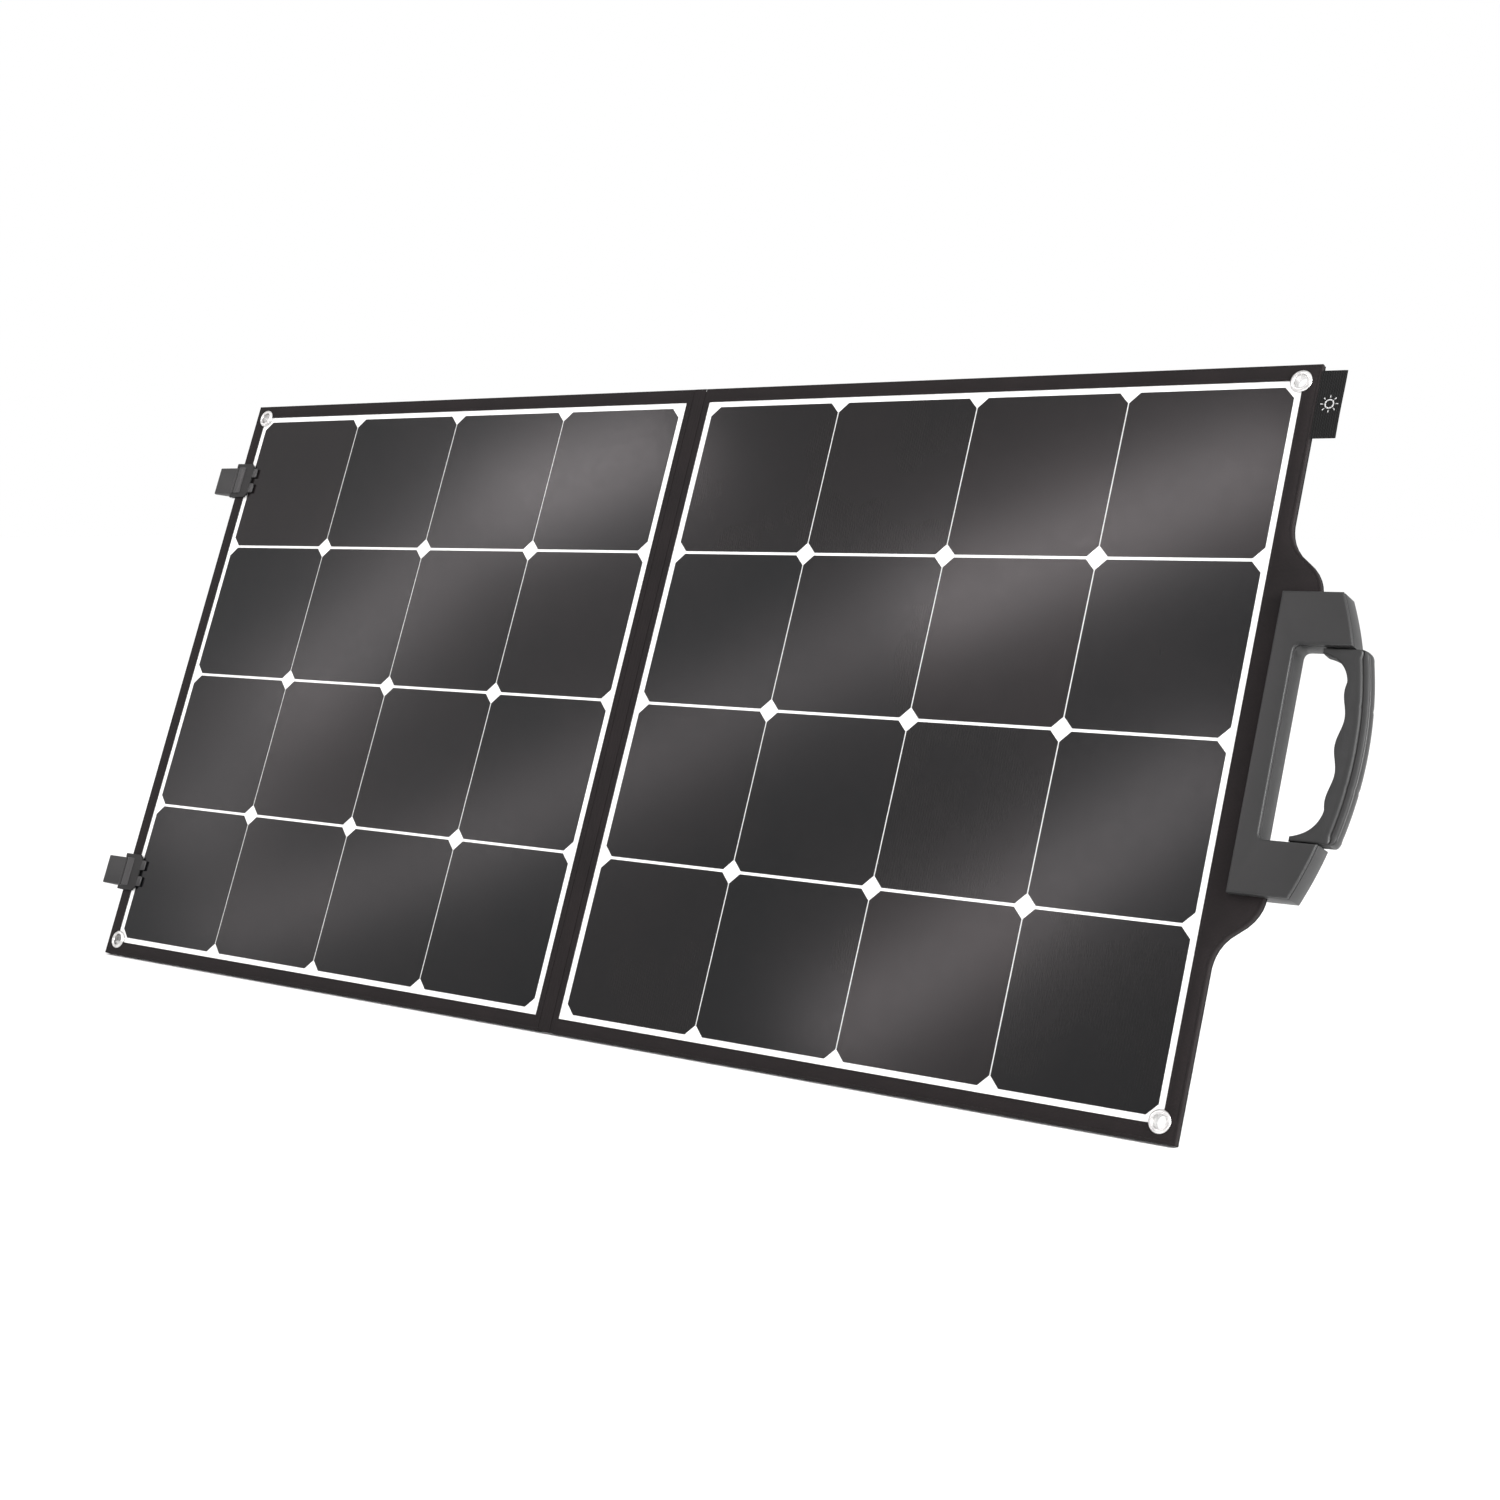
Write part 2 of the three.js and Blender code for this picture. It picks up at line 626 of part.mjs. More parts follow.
// The leg hangs from the origin of its own group, which lies on the hinge's axis.
function addLeg(group, name) {
  const { barrel, barrelHalf, pin, topHalf, bottomHalf, thickness, footStart, shoulder } = STAND;
  const [neck, wide] = shoulder;
  const rightSide = [
    [bottomHalf, CLEARANCE - footStart],
    [topHalf, -wide],
    [barrelHalf, -neck],
    [barrelHalf, 0],
  ];
  const leftSide = rightSide.map(([x, y]) => [-x, y]).reverse();
  const shape = new THREE.Shape([...rightSide, ...leftSide].map((at) => new THREE.Vector2(...at)));
  const barrelRod = rodAlongX(barrel, [-barrelHalf, barrelHalf], 0, 0);
  const hole = rodAlongX(pin + CLEARANCE, [-barrelHalf - 1, barrelHalf + 1], 0, 0);
  const leg = cut(joined(plate(shape, [-thickness / 2, thickness / 2]), barrelRod), hole);
  add(group, `${name}_stand_leg`, leg, COVER_FABRIC);
  addFoot(group, name);
}

// The sole is level when the leg is open.
function addFoot(group, name) {
  const { bottomHalf, footStart, length, soleFront, soleBack, soleHeel, soleHeelZ } = STAND;
  const sole = (z) => -(length * Math.cos(legTilt) - z * Math.sin(legTilt)) / Math.cos(legTilt);
  const profile = [
    [-footStart, soleFront],
    [sole(soleFront), soleFront],
    [sole(soleBack), soleBack],
    [-footStart - soleHeel, soleBack],
    [-footStart, soleHeelZ],
  ];
  const foot = profileAlongX(profile, [-bottomHalf, bottomHalf]);
  add(group, `${name}_stand_foot`, foot, RUBBER);
}

// The strap runs straight from the leaf to the open leg and stops it opening further.
function addStrap(group, name, x) {
  const { strapOnLeaf, strapOnLeg, strapWidth, strapThickness, strapMargin } = STAND;
  const { hingeY, axisZ, thickness } = STAND;
  const inner = thickness / 2;
  const leaf = new THREE.Vector2(strapOnLeaf, COVER[0]);
  const leg = new THREE.Vector2(
    hingeY - strapOnLeg * Math.cos(opening) - inner * Math.sin(opening),
    axisZ - strapOnLeg * Math.sin(opening) + inner * Math.cos(opening),
  );
  const run = leg.clone().sub(leaf);
  const strap = new THREE.BoxGeometry(strapWidth, run.length() - 2 * strapMargin, strapThickness);
  strap.rotateX(Math.atan2(run.y, run.x));
  strap.translate(x, (leaf.x + leg.x) / 2, (leaf.y + leg.y) / 2);
  add(group, `${name}_stand_strap`, strap, WEBBING);
}

function addStand(group, name, side) {
  const x = side * STAND.centre;
  addStandHinge(group, name, x);
  const leg = new THREE.Group();
  leg.position.set(x, STAND.hingeY, STAND.axisZ);
  leg.rotation.x = opening;
  addLeg(leg, name);
  group.add(leg);
  addStrap(group, name, x);
}

// ---- junction box and storage pocket on the back of the right leaf ----
function addJunctionBox(group) {
  const { x, y, base, lid, wall, board, boardMargin, boardStart } = BOX;
  const inside = (edges) => [edges[0] + wall, edges[1] - wall];
  const hollow = block(inside(x), inside(y), [base[0] - 1, base[1] - wall]);
  const middleX = (x[0] + x[1]) / 2;
  const bore = rodAlongY(SOCKET.bore, middleX, [y[0] - 1, y[0] + wall + 1], SOCKET.z, 16);
  add(group, 'junction_box_base', cut(block(x, y, base), hollow, bore), DARK_PLASTIC);
  add(group, 'junction_box_lid', block(x, y, lid), DARK_PLASTIC);
  const across = [x[0] + boardMargin, x[1] - boardMargin];
  const circuit = block(across, [y[0] + boardStart, y[1] - boardMargin], board);
  add(group, 'junction_board', circuit, CIRCUIT);
  const socket = turned([
    [0, -SOCKET.recess + 0.2],
    [SOCKET.recess, -SOCKET.recess + 0.2],
    [SOCKET.recess, SOCKET.front],
    [SOCKET.collar, SOCKET.front],
    [SOCKET.collar, -CLEARANCE],
    [SOCKET.body, -CLEARANCE],
    [SOCKET.body, SOCKET.inside],
    [0, SOCKET.inside],
  ], 16);
  socket.rotateX(-Math.PI / 2).translate(middleX, y[0], SOCKET.z);
  add(group, 'output_socket', socket, DARK_PLASTIC);
}

function addPocket(group) {
  const { x, y, z, corner } = POCKET;
  const shape = new THREE.Shape();
  shape.moveTo(x[0] + corner, y[0]);
  shape.absarc(x[1] - corner, y[0] + corner, corner, -Math.PI / 2, 0, false);
  shape.absarc(x[1] - corner, y[1] - corner, corner, 0, Math.PI / 2, false);
  shape.absarc(x[0] + corner, y[1] - corner, corner, Math.PI / 2, Math.PI, false);
  shape.absarc(x[0] + corner, y[0] + corner, corner, Math.PI, 1.5 * Math.PI, false);
  add(group, 'storage_pocket', plate(shape, z, 5), COVER_FABRIC);
  const { start, end, half } = SLIDER;
  const slider = block([start, end], [SLIDER.y - half, SLIDER.y + half], SLIDER.z);
  add(group, 'zip_slider', slider, NICKEL);
}

// ---- the whole panel, in its own frame ----
function makePanel() {
  const panel = new THREE.Group();
  addLeaf(panel, 'left', -1);
  addLeaf(panel, 'right', 1);
  addFold(panel);
  addHandle(panel);
  addGrip(panel);
  const tab = block([LEAF_REACH + CLEARANCE, LABEL.end], LABEL.y, LABEL.z);
  add(panel, 'label_tab', tab, WEBBING);
  [['lower', -1], ['upper', 1]].forEach(([name, end]) => {
    const y = MIDDLE + end * LATCH.offset;
    addLatchBase(panel, name, y);
    addLatchFlap(panel, name, y);
  });
  addStand(panel, 'left', -1);
  addStand(panel, 'right', 1);
  addJunctionBox(panel);
  addPocket(panel);
  return panel;
}

// ---- standing on the ground, with the origin under the middle of its box ----
const solarPanel = new THREE.Group();
const panel = makePanel();
panel.rotation.x = Math.PI / 2 - lean;
solarPanel.add(panel);
solarPanel.updateMatrixWorld(true);
const bounds = new THREE.Box3().setFromObject(solarPanel, true);
const middle = bounds.getCenter(new THREE.Vector3());
panel.position.set(-middle.x, -middle.y, -bounds.min.z);

export default solarPanel;
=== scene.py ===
"""Looks of a folding solar panel: fabric, cells, eyelets, handle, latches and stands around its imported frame.

Shapes are drawn in millimetres in the panel's own frame (x along the panel from the fold, y up the panel,
z out of its face), and placed in the row's frame by PANEL.
"""
import json
import math
import random

import bmesh
import bpy
import numpy as np
from mathutils import Matrix, Vector


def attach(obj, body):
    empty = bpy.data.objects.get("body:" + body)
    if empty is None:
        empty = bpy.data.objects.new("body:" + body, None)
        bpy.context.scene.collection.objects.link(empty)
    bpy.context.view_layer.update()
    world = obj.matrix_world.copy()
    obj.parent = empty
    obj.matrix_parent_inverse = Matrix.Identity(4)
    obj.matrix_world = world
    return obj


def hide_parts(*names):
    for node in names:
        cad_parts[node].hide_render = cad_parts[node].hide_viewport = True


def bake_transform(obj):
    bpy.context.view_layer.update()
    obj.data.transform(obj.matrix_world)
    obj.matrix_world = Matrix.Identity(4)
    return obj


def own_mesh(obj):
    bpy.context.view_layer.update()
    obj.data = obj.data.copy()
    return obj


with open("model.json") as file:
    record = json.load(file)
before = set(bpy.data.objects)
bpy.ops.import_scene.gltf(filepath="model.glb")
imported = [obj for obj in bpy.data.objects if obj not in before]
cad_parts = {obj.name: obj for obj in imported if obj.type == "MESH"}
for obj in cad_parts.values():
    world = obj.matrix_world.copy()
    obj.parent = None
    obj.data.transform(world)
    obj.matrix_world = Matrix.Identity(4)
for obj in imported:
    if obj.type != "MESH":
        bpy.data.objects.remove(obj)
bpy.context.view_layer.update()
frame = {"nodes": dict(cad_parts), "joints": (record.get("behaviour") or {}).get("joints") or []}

# ---- the panel's own frame, from the fold joint ----
JOINTS = {joint["name"]: joint for joint in frame["joints"]}
HEIGHT = 539.0
MIDDLE = HEIGHT / 2
FOLD_AXIS = 3.0
REACH = 541.0
BORDER = 12.0
FOLD_EDGE = 6.0
PITCH = 127.0
FIRST_COLUMN = 16.8
CELL = 125.0
BACK = -5.3  # just behind the back cover
SLOT_FRONT = 0.9  # just in front of the border, where the handle's and the latches' jaws close
LATCH_Y = 193  # of each latch, from the leaf's middle
CLOTH_SHARP = 60
CHAMFER = 7.8
EYELET_X = 527.5
EYELET_Y = (13.7, 526.5)

ACROSS = Vector((1, 0, 0))
UP = Vector(JOINTS["fold"]["axis"]).normalized()
OUT = ACROSS.cross(UP)
MM = 0.001
ORIGIN = Vector(JOINTS["fold"]["pos_m"]) - UP * MIDDLE * MM - OUT * FOLD_AXIS * MM
PANEL = Matrix.Translation(ORIGIN) @ Matrix((ACROSS, UP, OUT)).transposed().to_4x4() @ Matrix.Scale(MM, 4)
LEAN = math.atan2(UP.y, UP.z)


def at(x, y, z):
    """A point of the panel's frame, in the row's frame."""
    return PANEL @ Vector((x, y, z))


# ---- materials ----
class Shader:
    """A Principled material with short calls for the nodes that feed it."""

    def __init__(self, name, colour, roughness, metallic=0.0):
        self.material = bpy.data.materials.new(name)
        self.material.use_nodes = True
        self.tree = self.material.node_tree
        self.surface = self.tree.nodes["Principled BSDF"]
        self.material.diffuse_color = (*colour, 1)
        self.set("Base Color", (*colour, 1))
        self.set("Roughness", roughness)
        self.set("Metallic", metallic)

    def set(self, socket, value):
        self.surface.inputs[socket].default_value = value

    def node(self, kind, **values):
        made = self.tree.nodes.new("ShaderNode" + kind)
        for key, value in values.items():
            if hasattr(made, key):
                setattr(made, key, value)
            else:
                made.inputs[key.replace("_", " ")].default_value = value
        return made

    def link(self, source, target, output=0):
        self.tree.links.new(source.outputs[output], target)

    def panel_place(self):
        """Object coordinates turned so that Y runs up the panel."""
        place = self.node("TexCoord")
        turn = self.node("Mapping", vector_type="POINT")
        turn.inputs["Rotation"].default_value = (LEAN - math.pi / 2, 0, 0)
        self.link(place, turn.inputs["Vector"], "Object")
        return turn

    def noise(self, place, scale, detail=3.0, rough=0.6):
        made = self.node("TexNoise", Scale=scale, Detail=detail, Roughness=rough)
        self.link(place, made.inputs["Vector"])
        return made

    def wave(self, place, direction, pitch):
        made = self.node("TexWave", bands_direction=direction, Scale=math.pi / 10 / pitch)
        self.link(place, made.inputs["Vector"])
        return made

    def maths(self, operation, first, second):
        made = self.node("Math", operation=operation)
        for index, value in enumerate((first, second)):
            if isinstance(value, (int, float)):
                made.inputs[index].default_value = value
            else:
                self.link(value, made.inputs[index], 1 if value.type == "TEX_WAVE" else 0)
        return made

    def ramp(self, source, low, high, start=0.3, end=0.7):
        made = self.node("ValToRGB")
        made.color_ramp.elements[0].position = start
        made.color_ramp.elements[1].position = end
        made.color_ramp.elements[0].color = (*low, 1)
        made.color_ramp.elements[1].color = (*high, 1)
        self.link(source, made.inputs["Fac"])
        return made

    def colour(self, source, low, high, start=0.3, end=0.7):
        made = self.ramp(source, low, high, start, end)
        self.link(made, self.surface.inputs["Base Color"])
        return made

    def roughness(self, source, low, high):
        made = self.node("MapRange", To_Min=low, To_Max=high)
        self.link(source, made.inputs["Value"])
        self.link(made, self.surface.inputs["Roughness"])

    def bump(self, source, strength, distance):
        made = self.node("Bump", Strength=strength, Distance=distance)
        self.link(source, made.inputs["Height"])
        self.link(made, self.surface.inputs["Normal"])


def fabric(name, dark, light, pitch, depth):
    """Plain weave: threads both ways, a little cloudy, with a faint dusty bloom."""
    made = Shader(name, light, 0.85)
    place = made.panel_place()
    weave = made.maths("MULTIPLY", made.wave(place, "X", pitch), made.wave(place, "Y", pitch))
    cloud = made.noise(place, 34, 5)
    fibre = made.noise(place, 1900, 2)
    height = made.maths("ADD", weave, made.maths("MULTIPLY", fibre, 0.5))
    made.colour(made.maths("ADD", made.maths("MULTIPLY", cloud, 0.8), made.maths("MULTIPLY", weave, 0.3)),
                dark, light, 0.25, 0.85)
    made.roughness(cloud, 0.72, 0.95)
    made.bump(height, 0.55, depth)
    made.set("Specular IOR Level", 0.15)
    made.set("Sheen Weight", 0.03)
    made.set("Sheen Roughness", 0.4)
    return made.material


def webbing(name, light):
    """Ribbed narrow-woven tape."""
    made = Shader(name, light, 0.8)
    place = made.panel_place()
    ribs = made.wave(place, "X", 0.0017)
    picks = made.wave(place, "DIAGONAL", 0.0011)
    height = made.maths("ADD", ribs, made.maths("MULTIPLY", picks, 0.6))
    made.colour(made.maths("ADD", made.maths("MULTIPLY", height, 0.3), made.noise(place, 60, 4)),
                [c * 0.55 for c in light], light, 0.4, 1.0)
    made.bump(height, 0.6, 0.0004)
    made.set("Specular IOR Level", 0.2)
    return made.material


def silicon():
    """A dark cell under satin film: fine contact lines, a faint blue-brown cloud and a tone for each cell."""
    made = Shader("cell_silicon", (0.012, 0.011, 0.011), 0.2)
    place = made.panel_place()
    tone = made.node("Attribute", attribute_name="tone")
    cloud = made.noise(place, 9, 3)
    lines = made.wave(place, "X", 0.0022)
    mixed = made.maths("ADD", made.maths("MULTIPLY", cloud, 0.55), made.maths("MULTIPLY", tone, 0.4))
    mixed = made.maths("ADD", mixed, made.maths("MULTIPLY", lines, 0.06))
    made.colour(mixed, (0.0035, 0.004, 0.0045), (0.0105, 0.0085, 0.0088), 0.25, 0.85)
    made.roughness(made.noise(place, 140, 4), 0.13, 0.18)
    made.bump(made.noise(place, 420, 3), 0.05, 0.0002)
    made.set("Specular IOR Level", 0.2)
    return made.material


def white_sheet():
    """White backsheet under the same film, very slightly yellowed."""
    made = Shader("backsheet_white", (0.9, 0.9, 0.89), 0.28)
    place = made.panel_place()
    made.colour(made.noise(place, 18, 4), (0.86, 0.86, 0.84), (0.94, 0.94, 0.935))
    made.roughness(made.noise(place, 200, 3), 0.22, 0.34)
    made.bump(made.noise(place, 500, 3), 0.05, 0.0002)
    return made.material


def plastic(name, dark, light, rough=(0.36, 0.5), grain=0.0006):
    """Moulded plastic with spark-eroded grain and rubbed, paler edges."""
    made = Shader(name, light, 0.42)
    place = made.panel_place()
    fine = made.noise(place, 1 / grain, 2, 0.5)
    cloud = made.noise(place, 26, 4)
    edges = made.node("NewGeometry")
    worn = made.node("MapRange", From_Min=0.52, From_Max=0.62, To_Min=0.0, To_Max=0.6)
    made.link(edges, worn.inputs["Value"], "Pointiness")
    made.colour(made.maths("ADD", made.maths("MULTIPLY", cloud, 0.7), worn), dark, light, 0.2, 1.0)
    made.roughness(cloud, *rough)
    made.bump(fine, 0.28, 0.0001)
    made.set("Specular IOR Level", 0.38)
    return made.material


def rubber(name, dark, light):
    """Matt rubber, dusty in patches."""
    made = Shader(name, light, 0.8)
    place = made.panel_place()
    cloud = made.noise(place, 70, 5)
    made.colour(cloud, dark, light, 0.35, 0.8)
    made.roughness(cloud, 0.6, 0.85)
    made.bump(made.noise(place, 900, 3), 0.35, 0.0002)
    return made.material


def metal(name, dark, light, rough):
    """Plated or plain metal with fine scratches."""
    made = Shader(name, light, rough[0], 1.0)
    place = made.panel_place()
    scratch = made.node("Mapping", vector_type="POINT")
    scratch.inputs["Scale"].default_value = (1, 14, 1)
    made.link(place, scratch.inputs["Vector"])
    lines = made.noise(scratch, 240, 5)
    made.colour(made.noise(place, 160, 4), dark, light)
    made.roughness(lines, *rough)
    made.bump(lines, 0.12, 0.00008)
    return made.material


def board(name, dark, light):
    """Pressed board or circuit board, speckled."""
    made = Shader(name, light, 0.7)
    place = made.panel_place()
    speck = made.noise(place, 300, 6, 0.7)
    made.colour(speck, dark, light)
    made.roughness(speck, 0.5, 0.8)
    made.bump(speck, 0.2, 0.0003)
    return made.material


LOOK = {
    "border": fabric("border_weave", (0.0085, 0.0068, 0.007), (0.017, 0.0133, 0.0138), 0.0009, 0.00022),
    "cover": fabric("cover_weave", (0.0085, 0.0082, 0.0085), (0.0175, 0.0168, 0.0173), 0.0013, 0.0004),
    "thread": webbing("thread_black", (0.016, 0.0145, 0.0148)),
    "webbing": webbing("webbing_black", (0.014, 0.0135, 0.014)),
    "label": webbing("label_woven", (0.006, 0.006, 0.006)),
    "mark": webbing("label_mark", (0.5, 0.5, 0.5)),
    "cells": silicon(),
    "white": white_sheet(),
    "grey": plastic("handle_plastic", (0.010, 0.010, 0.0102), (0.021, 0.021, 0.0213)),
    "dark": plastic("latch_plastic", (0.006, 0.0058, 0.006), (0.014, 0.0136, 0.014), (0.34, 0.48)),
    # blacker copy of the latch plastic: partly its own black, partly painted shade round the latch's base
    "black": plastic("latch_black_and_painted_shade", (0.0016, 0.0015, 0.0015), (0.004, 0.0038, 0.0038), (0.5, 0.62)),
    # paler copy of the latch plastic: on the ridge its paleness is a painted highlight; the pads use it too
    "pale": plastic("latch_pale_and_painted_highlight", (0.014, 0.0135, 0.014), (0.03, 0.029, 0.03), (0.3, 0.42)),
    # darker than the handle plastic, partly to paint the shade on the grip's inner side
    "soft": rubber("grip_rubber_and_painted_shade", (0.008, 0.008, 0.0082), (0.017, 0.017, 0.0175)),
    "rubber": rubber("foot_rubber", (0.010, 0.010, 0.010), (0.030, 0.029, 0.028)),
    "nickel": metal("eyelet_nickel", (0.5, 0.49, 0.49), (0.76, 0.75, 0.74), (0.2, 0.36)),
    "steel": metal("zinc_steel", (0.42, 0.43, 0.45), (0.62, 0.63, 0.65), (0.25, 0.45)),
    "board": board("fibreboard", (0.36, 0.31, 0.22), (0.56, 0.5, 0.38)),
    "copper": metal("tinned_copper", (0.5, 0.36, 0.26), (0.72, 0.55, 0.42), (0.25, 0.4)),
    "circuit": board("circuit_board", (0.008, 0.05, 0.022), (0.02, 0.10, 0.05)),
}


# ---- mesh helpers ----
SHARP = 35  # degrees between faces, from which an edge is drawn sharp


def piece(name, verts, faces, look, sharp=SHARP, place=PANEL):
    """A mesh from points in millimetres, in place, with its material."""
    mesh = bpy.data.meshes.new(name)
    mesh.from_pydata([tuple(place @ Vector(v)) for v in verts], [], faces)
    mesh.validate()
    tidy = bmesh.new()
    tidy.from_mesh(mesh)
    bmesh.ops.remove_doubles(tidy, verts=tidy.verts, dist=1e-7)
    bmesh.ops.recalc_face_normals(tidy, faces=tidy.faces)
    tidy.to_mesh(mesh)
    tidy.free()
    made = bpy.data.objects.new(name, mesh)
    bpy.context.scene.collection.objects.link(made)
    for key in [look] if isinstance(look, str) else look:
        mesh.materials.append(LOOK[key])
    mesh.shade_smooth()
    mesh.set_sharp_from_angle(angle=math.radians(sharp))
    return made


def inward(loop):
    """For each point of an anticlockwise loop, the step that moves both its edges 1 mm inwards."""
    steps = []
    count = len(loop)
    for index in range(count):
        before = Vector(loop[index]) - Vector(loop[index - 1])
        after = Vector(loop[(index + 1) % count]) - Vector(loop[index])
        first = Vector((-before.y, before.x)).normalized()
        second = Vector((-after.y, after.x)).normalized()
        total = first + second
        steps.append(total / max(total.dot(first), 0.35))
    return steps


def wrap(levels, count, capped=True):
    """Faces round a stack of loops of count points each, with a face over each end if capped."""
    faces = []
    for level in range(levels - 1):
        for index in range(count):
            following = (index + 1) % count
            low, high = level * count, (level + 1) * count
            faces.append((low + index, low + following, high + following, high + index))
    if capped:
        faces.append(tuple(reversed(range(count))))
        faces.append(tuple(range((levels - 1) * count, levels * count)))
    return faces


def ring_faces(turns, rows, closed=True):
    """Faces of a section of rows points, carried round a closed path of turns stations."""
    faces = []
    for turn in range(turns):
        here, there = turn * rows, (turn + 1) % turns * rows
        for row in range(rows if closed else rows - 1):
            above = (row + 1) % rows
            faces.append((here + row, there + row, there + above, here + above))
    return faces


def loft(loop, rings, flat=lambda a, b, h: (a, b, h)):
    """Verts and faces of a closed solid: the loop at each ring's height, inset by the ring's amount.

    A ring is (height, inset) or (height, inset, pull), where pull moves a point back along its first
    coordinate, by as much as the point's weight in a loop of (a, b, weight).
    """
    plain = [(p[0], p[1]) for p in loop]
    weights = [p[2] if len(p) > 2 else 0 for p in loop]
    steps = inward(plain)
    verts = []
    for ring in rings:
        height, inset = ring[0], ring[1]
        pull = ring[2] if len(ring) > 2 else 0
        for point, step, weight in zip(plain, steps, weights):
            moved = Vector(point) + step * inset
            verts.append(flat(moved.x - pull * weight, moved.y, height))
    return verts, wrap(len(rings), len(plain))


def ends(low, high, edge):
    """Rings of a bar from low to high, with its rims chamfered by edge."""
    return [(low, edge), (low + edge, 0), (high - edge, 0), (high, edge)]


def together(*parts):
    """One mesh from several."""
    verts, faces = [], []
    for part_verts, part_faces in parts:
        start = len(verts)
        verts += part_verts
        faces += [tuple(index + start for index in face) for face in part_faces]
    return verts, faces


def along_y(a, b, h):
    """A loop drawn in x and z, lofted up the panel."""
    return (a, h, b)


def along_x(a, b, h):
    """A loop drawn in y and z, lofted along the panel."""
    return (h, a, b)


def rounded(x0, x1, y0, y1, radius, steps=5):
    """An anticlockwise rectangle with round corners."""
    loop = []
    corners = ((x1, y0, -90), (x1, y1, 0), (x0, y1, 90), (x0, y0, 180))
    for x, y, start in corners:
        cx = x - math.copysign(radius, x - (x0 + x1) / 2)
        cy = y - math.copysign(radius, y - (y0 + y1) / 2)
        for step in range(steps + 1):
            angle = math.radians(start + 90 * step / steps)
            loop.append((cx + radius * math.cos(angle), cy + radius * math.sin(angle)))
    return loop


def soft_box(x0, x1, y0, y1, z0, z1, radius, edge):
    """A rectangular block with round corners and rounded rims."""
    loop = rounded(x0, x1, y0, y1, radius)
    rims = [(z0, edge), (z0 + edge * 0.3, edge * 0.3), (z0 + edge, 0)]
    rims += [(z1 - edge, 0), (z1 - edge * 0.3, edge * 0.3), (z1, edge)]
    return loft(loop, rims)


def span(middle, end, near, far):
    """Lower and upper bound of the stretch from near to far of the middle, towards end, which is 1 or -1."""
    return sorted((middle + end * near, middle + end * far))


def circle(x, y, radius, steps=24):
    return [
        (x + radius * math.cos(2 * math.pi * i / steps), y + radius * math.sin(2 * math.pi * i / steps))
        for i in range(steps)
    ]


def turned(x, y, profile, steps=48, closed=True):
    """A ring turned about a line through x, y out of the panel's face, from (radius, height) points."""
    verts = []
    for turn in range(steps):
        angle = 2 * math.pi * turn / steps
        for radius, height in profile:
            verts.append((x + radius * math.cos(angle), y + radius * math.sin(angle), height))
    return verts, ring_faces(steps, len(profile), closed)


def bezier(a, b, c, steps):
    return [
        tuple((1 - t) ** 2 * a[k] + 2 * t * (1 - t) * b[k] + t * t * c[k] for k in range(2))
        for t in (i / steps for i in range(steps + 1))
    ]


def cut_away(made, cutters):
    """Cuts closed meshes out of a closed piece, before it rides on its body."""
    for verts, faces in cutters:
        tool = piece("cutter", verts, faces, "dark")
        cut = made.modifiers.new("cut", "BOOLEAN")
        cut.object = tool
        cut.operation = "DIFFERENCE"
        cut.solver = "MANIFOLD"
        bpy.context.view_layer.objects.active = made
        bpy.ops.object.modifier_apply(modifier=cut.name)
        bpy.data.objects.remove(tool)
    made.data.set_sharp_from_angle(angle=math.radians(SHARP))


def finish_piece(made, body, replaces=()):
    if replaces:
        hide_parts(*replaces)
    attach(made, body)


def fit(name, mesh, look, body, replaces=(), cutters=(), sharp=SHARP, place=PANEL):
    """A piece, cut where it has to be, that rides on a body and may stand for CAD nodes."""
    made = piece(name, *mesh, look, sharp, place)
    if cutters:
        cut_away(made, cutters)
    finish_piece(made, body, replaces)
    return made


# ---- outlines of a leaf ----
STEP = 4.0  # spacing of the points along a leaf's edges


def tongue_reach(y):
    """How far the right leaf's outer edge reaches at a height, with the tongue that carries the handle."""
    upper = bezier((541, 152), (542, 138), (553, 129), 12) + bezier((553, 129), (569, 119), (570, 104), 12)
    upper += [(570, 82), (556.5, 74), (556.5, 0)]
    from_middle = [point[1] for point in reversed(upper)]
    reach = [point[0] for point in reversed(upper)]
    return float(np.interp(abs(y - MIDDLE), from_middle, reach, right=REACH))


def spread(low, high):
    count = max(1, round(abs(high - low) / STEP))
    return [low + (high - low) * i / count for i in range(count)]


def matched_loops(side):
    """Outer and inner loop of a leaf's border, point for point, anticlockwise seen from the front."""
    near, far = FOLD_EDGE, REACH
    window = (BORDER, REACH - BORDER, BORDER, HEIGHT - BORDER)
    xs_inner = spread(window[0], window[1])
    xs_outer = [near + (x - window[0]) * (far - near) / (window[1] - window[0]) for x in xs_inner]
    ys_inner = spread(window[2], window[3])
    ys_outer = [(y - window[2]) * HEIGHT / (window[3] - window[2]) for y in ys_inner]
    edge = tongue_reach if side > 0 else (lambda y: REACH)
    inner = [(x, window[2]) for x in xs_inner] + [(window[1], y) for y in ys_inner]
    outer = [(x, 0.0) for x in xs_outer] + [(edge(y), y) for y in ys_outer]
    inner += [(window[1] + window[0] - x, window[3]) for x in xs_inner]
    outer += [(far + near - x, HEIGHT) for x in xs_outer]
    inner += [(window[0], window[3] + window[2] - y) for y in ys_inner]
    outer += [(near, HEIGHT - y) for y in ys_outer]
    if side < 0:
        inner = [(-x, y) for x, y in reversed(inner)]
        outer = [(-x, y) for x, y in reversed(outer)]
    return outer, inner


def eyelet_places(side):
    return [(side * EYELET_X, y) for y in EYELET_Y]


def eyelet_cutters(side, radius=5.6):
    return [loft(circle(x, y, radius), [(-9, 0), (5, 0)]) for x, y in eyelet_places(side)]


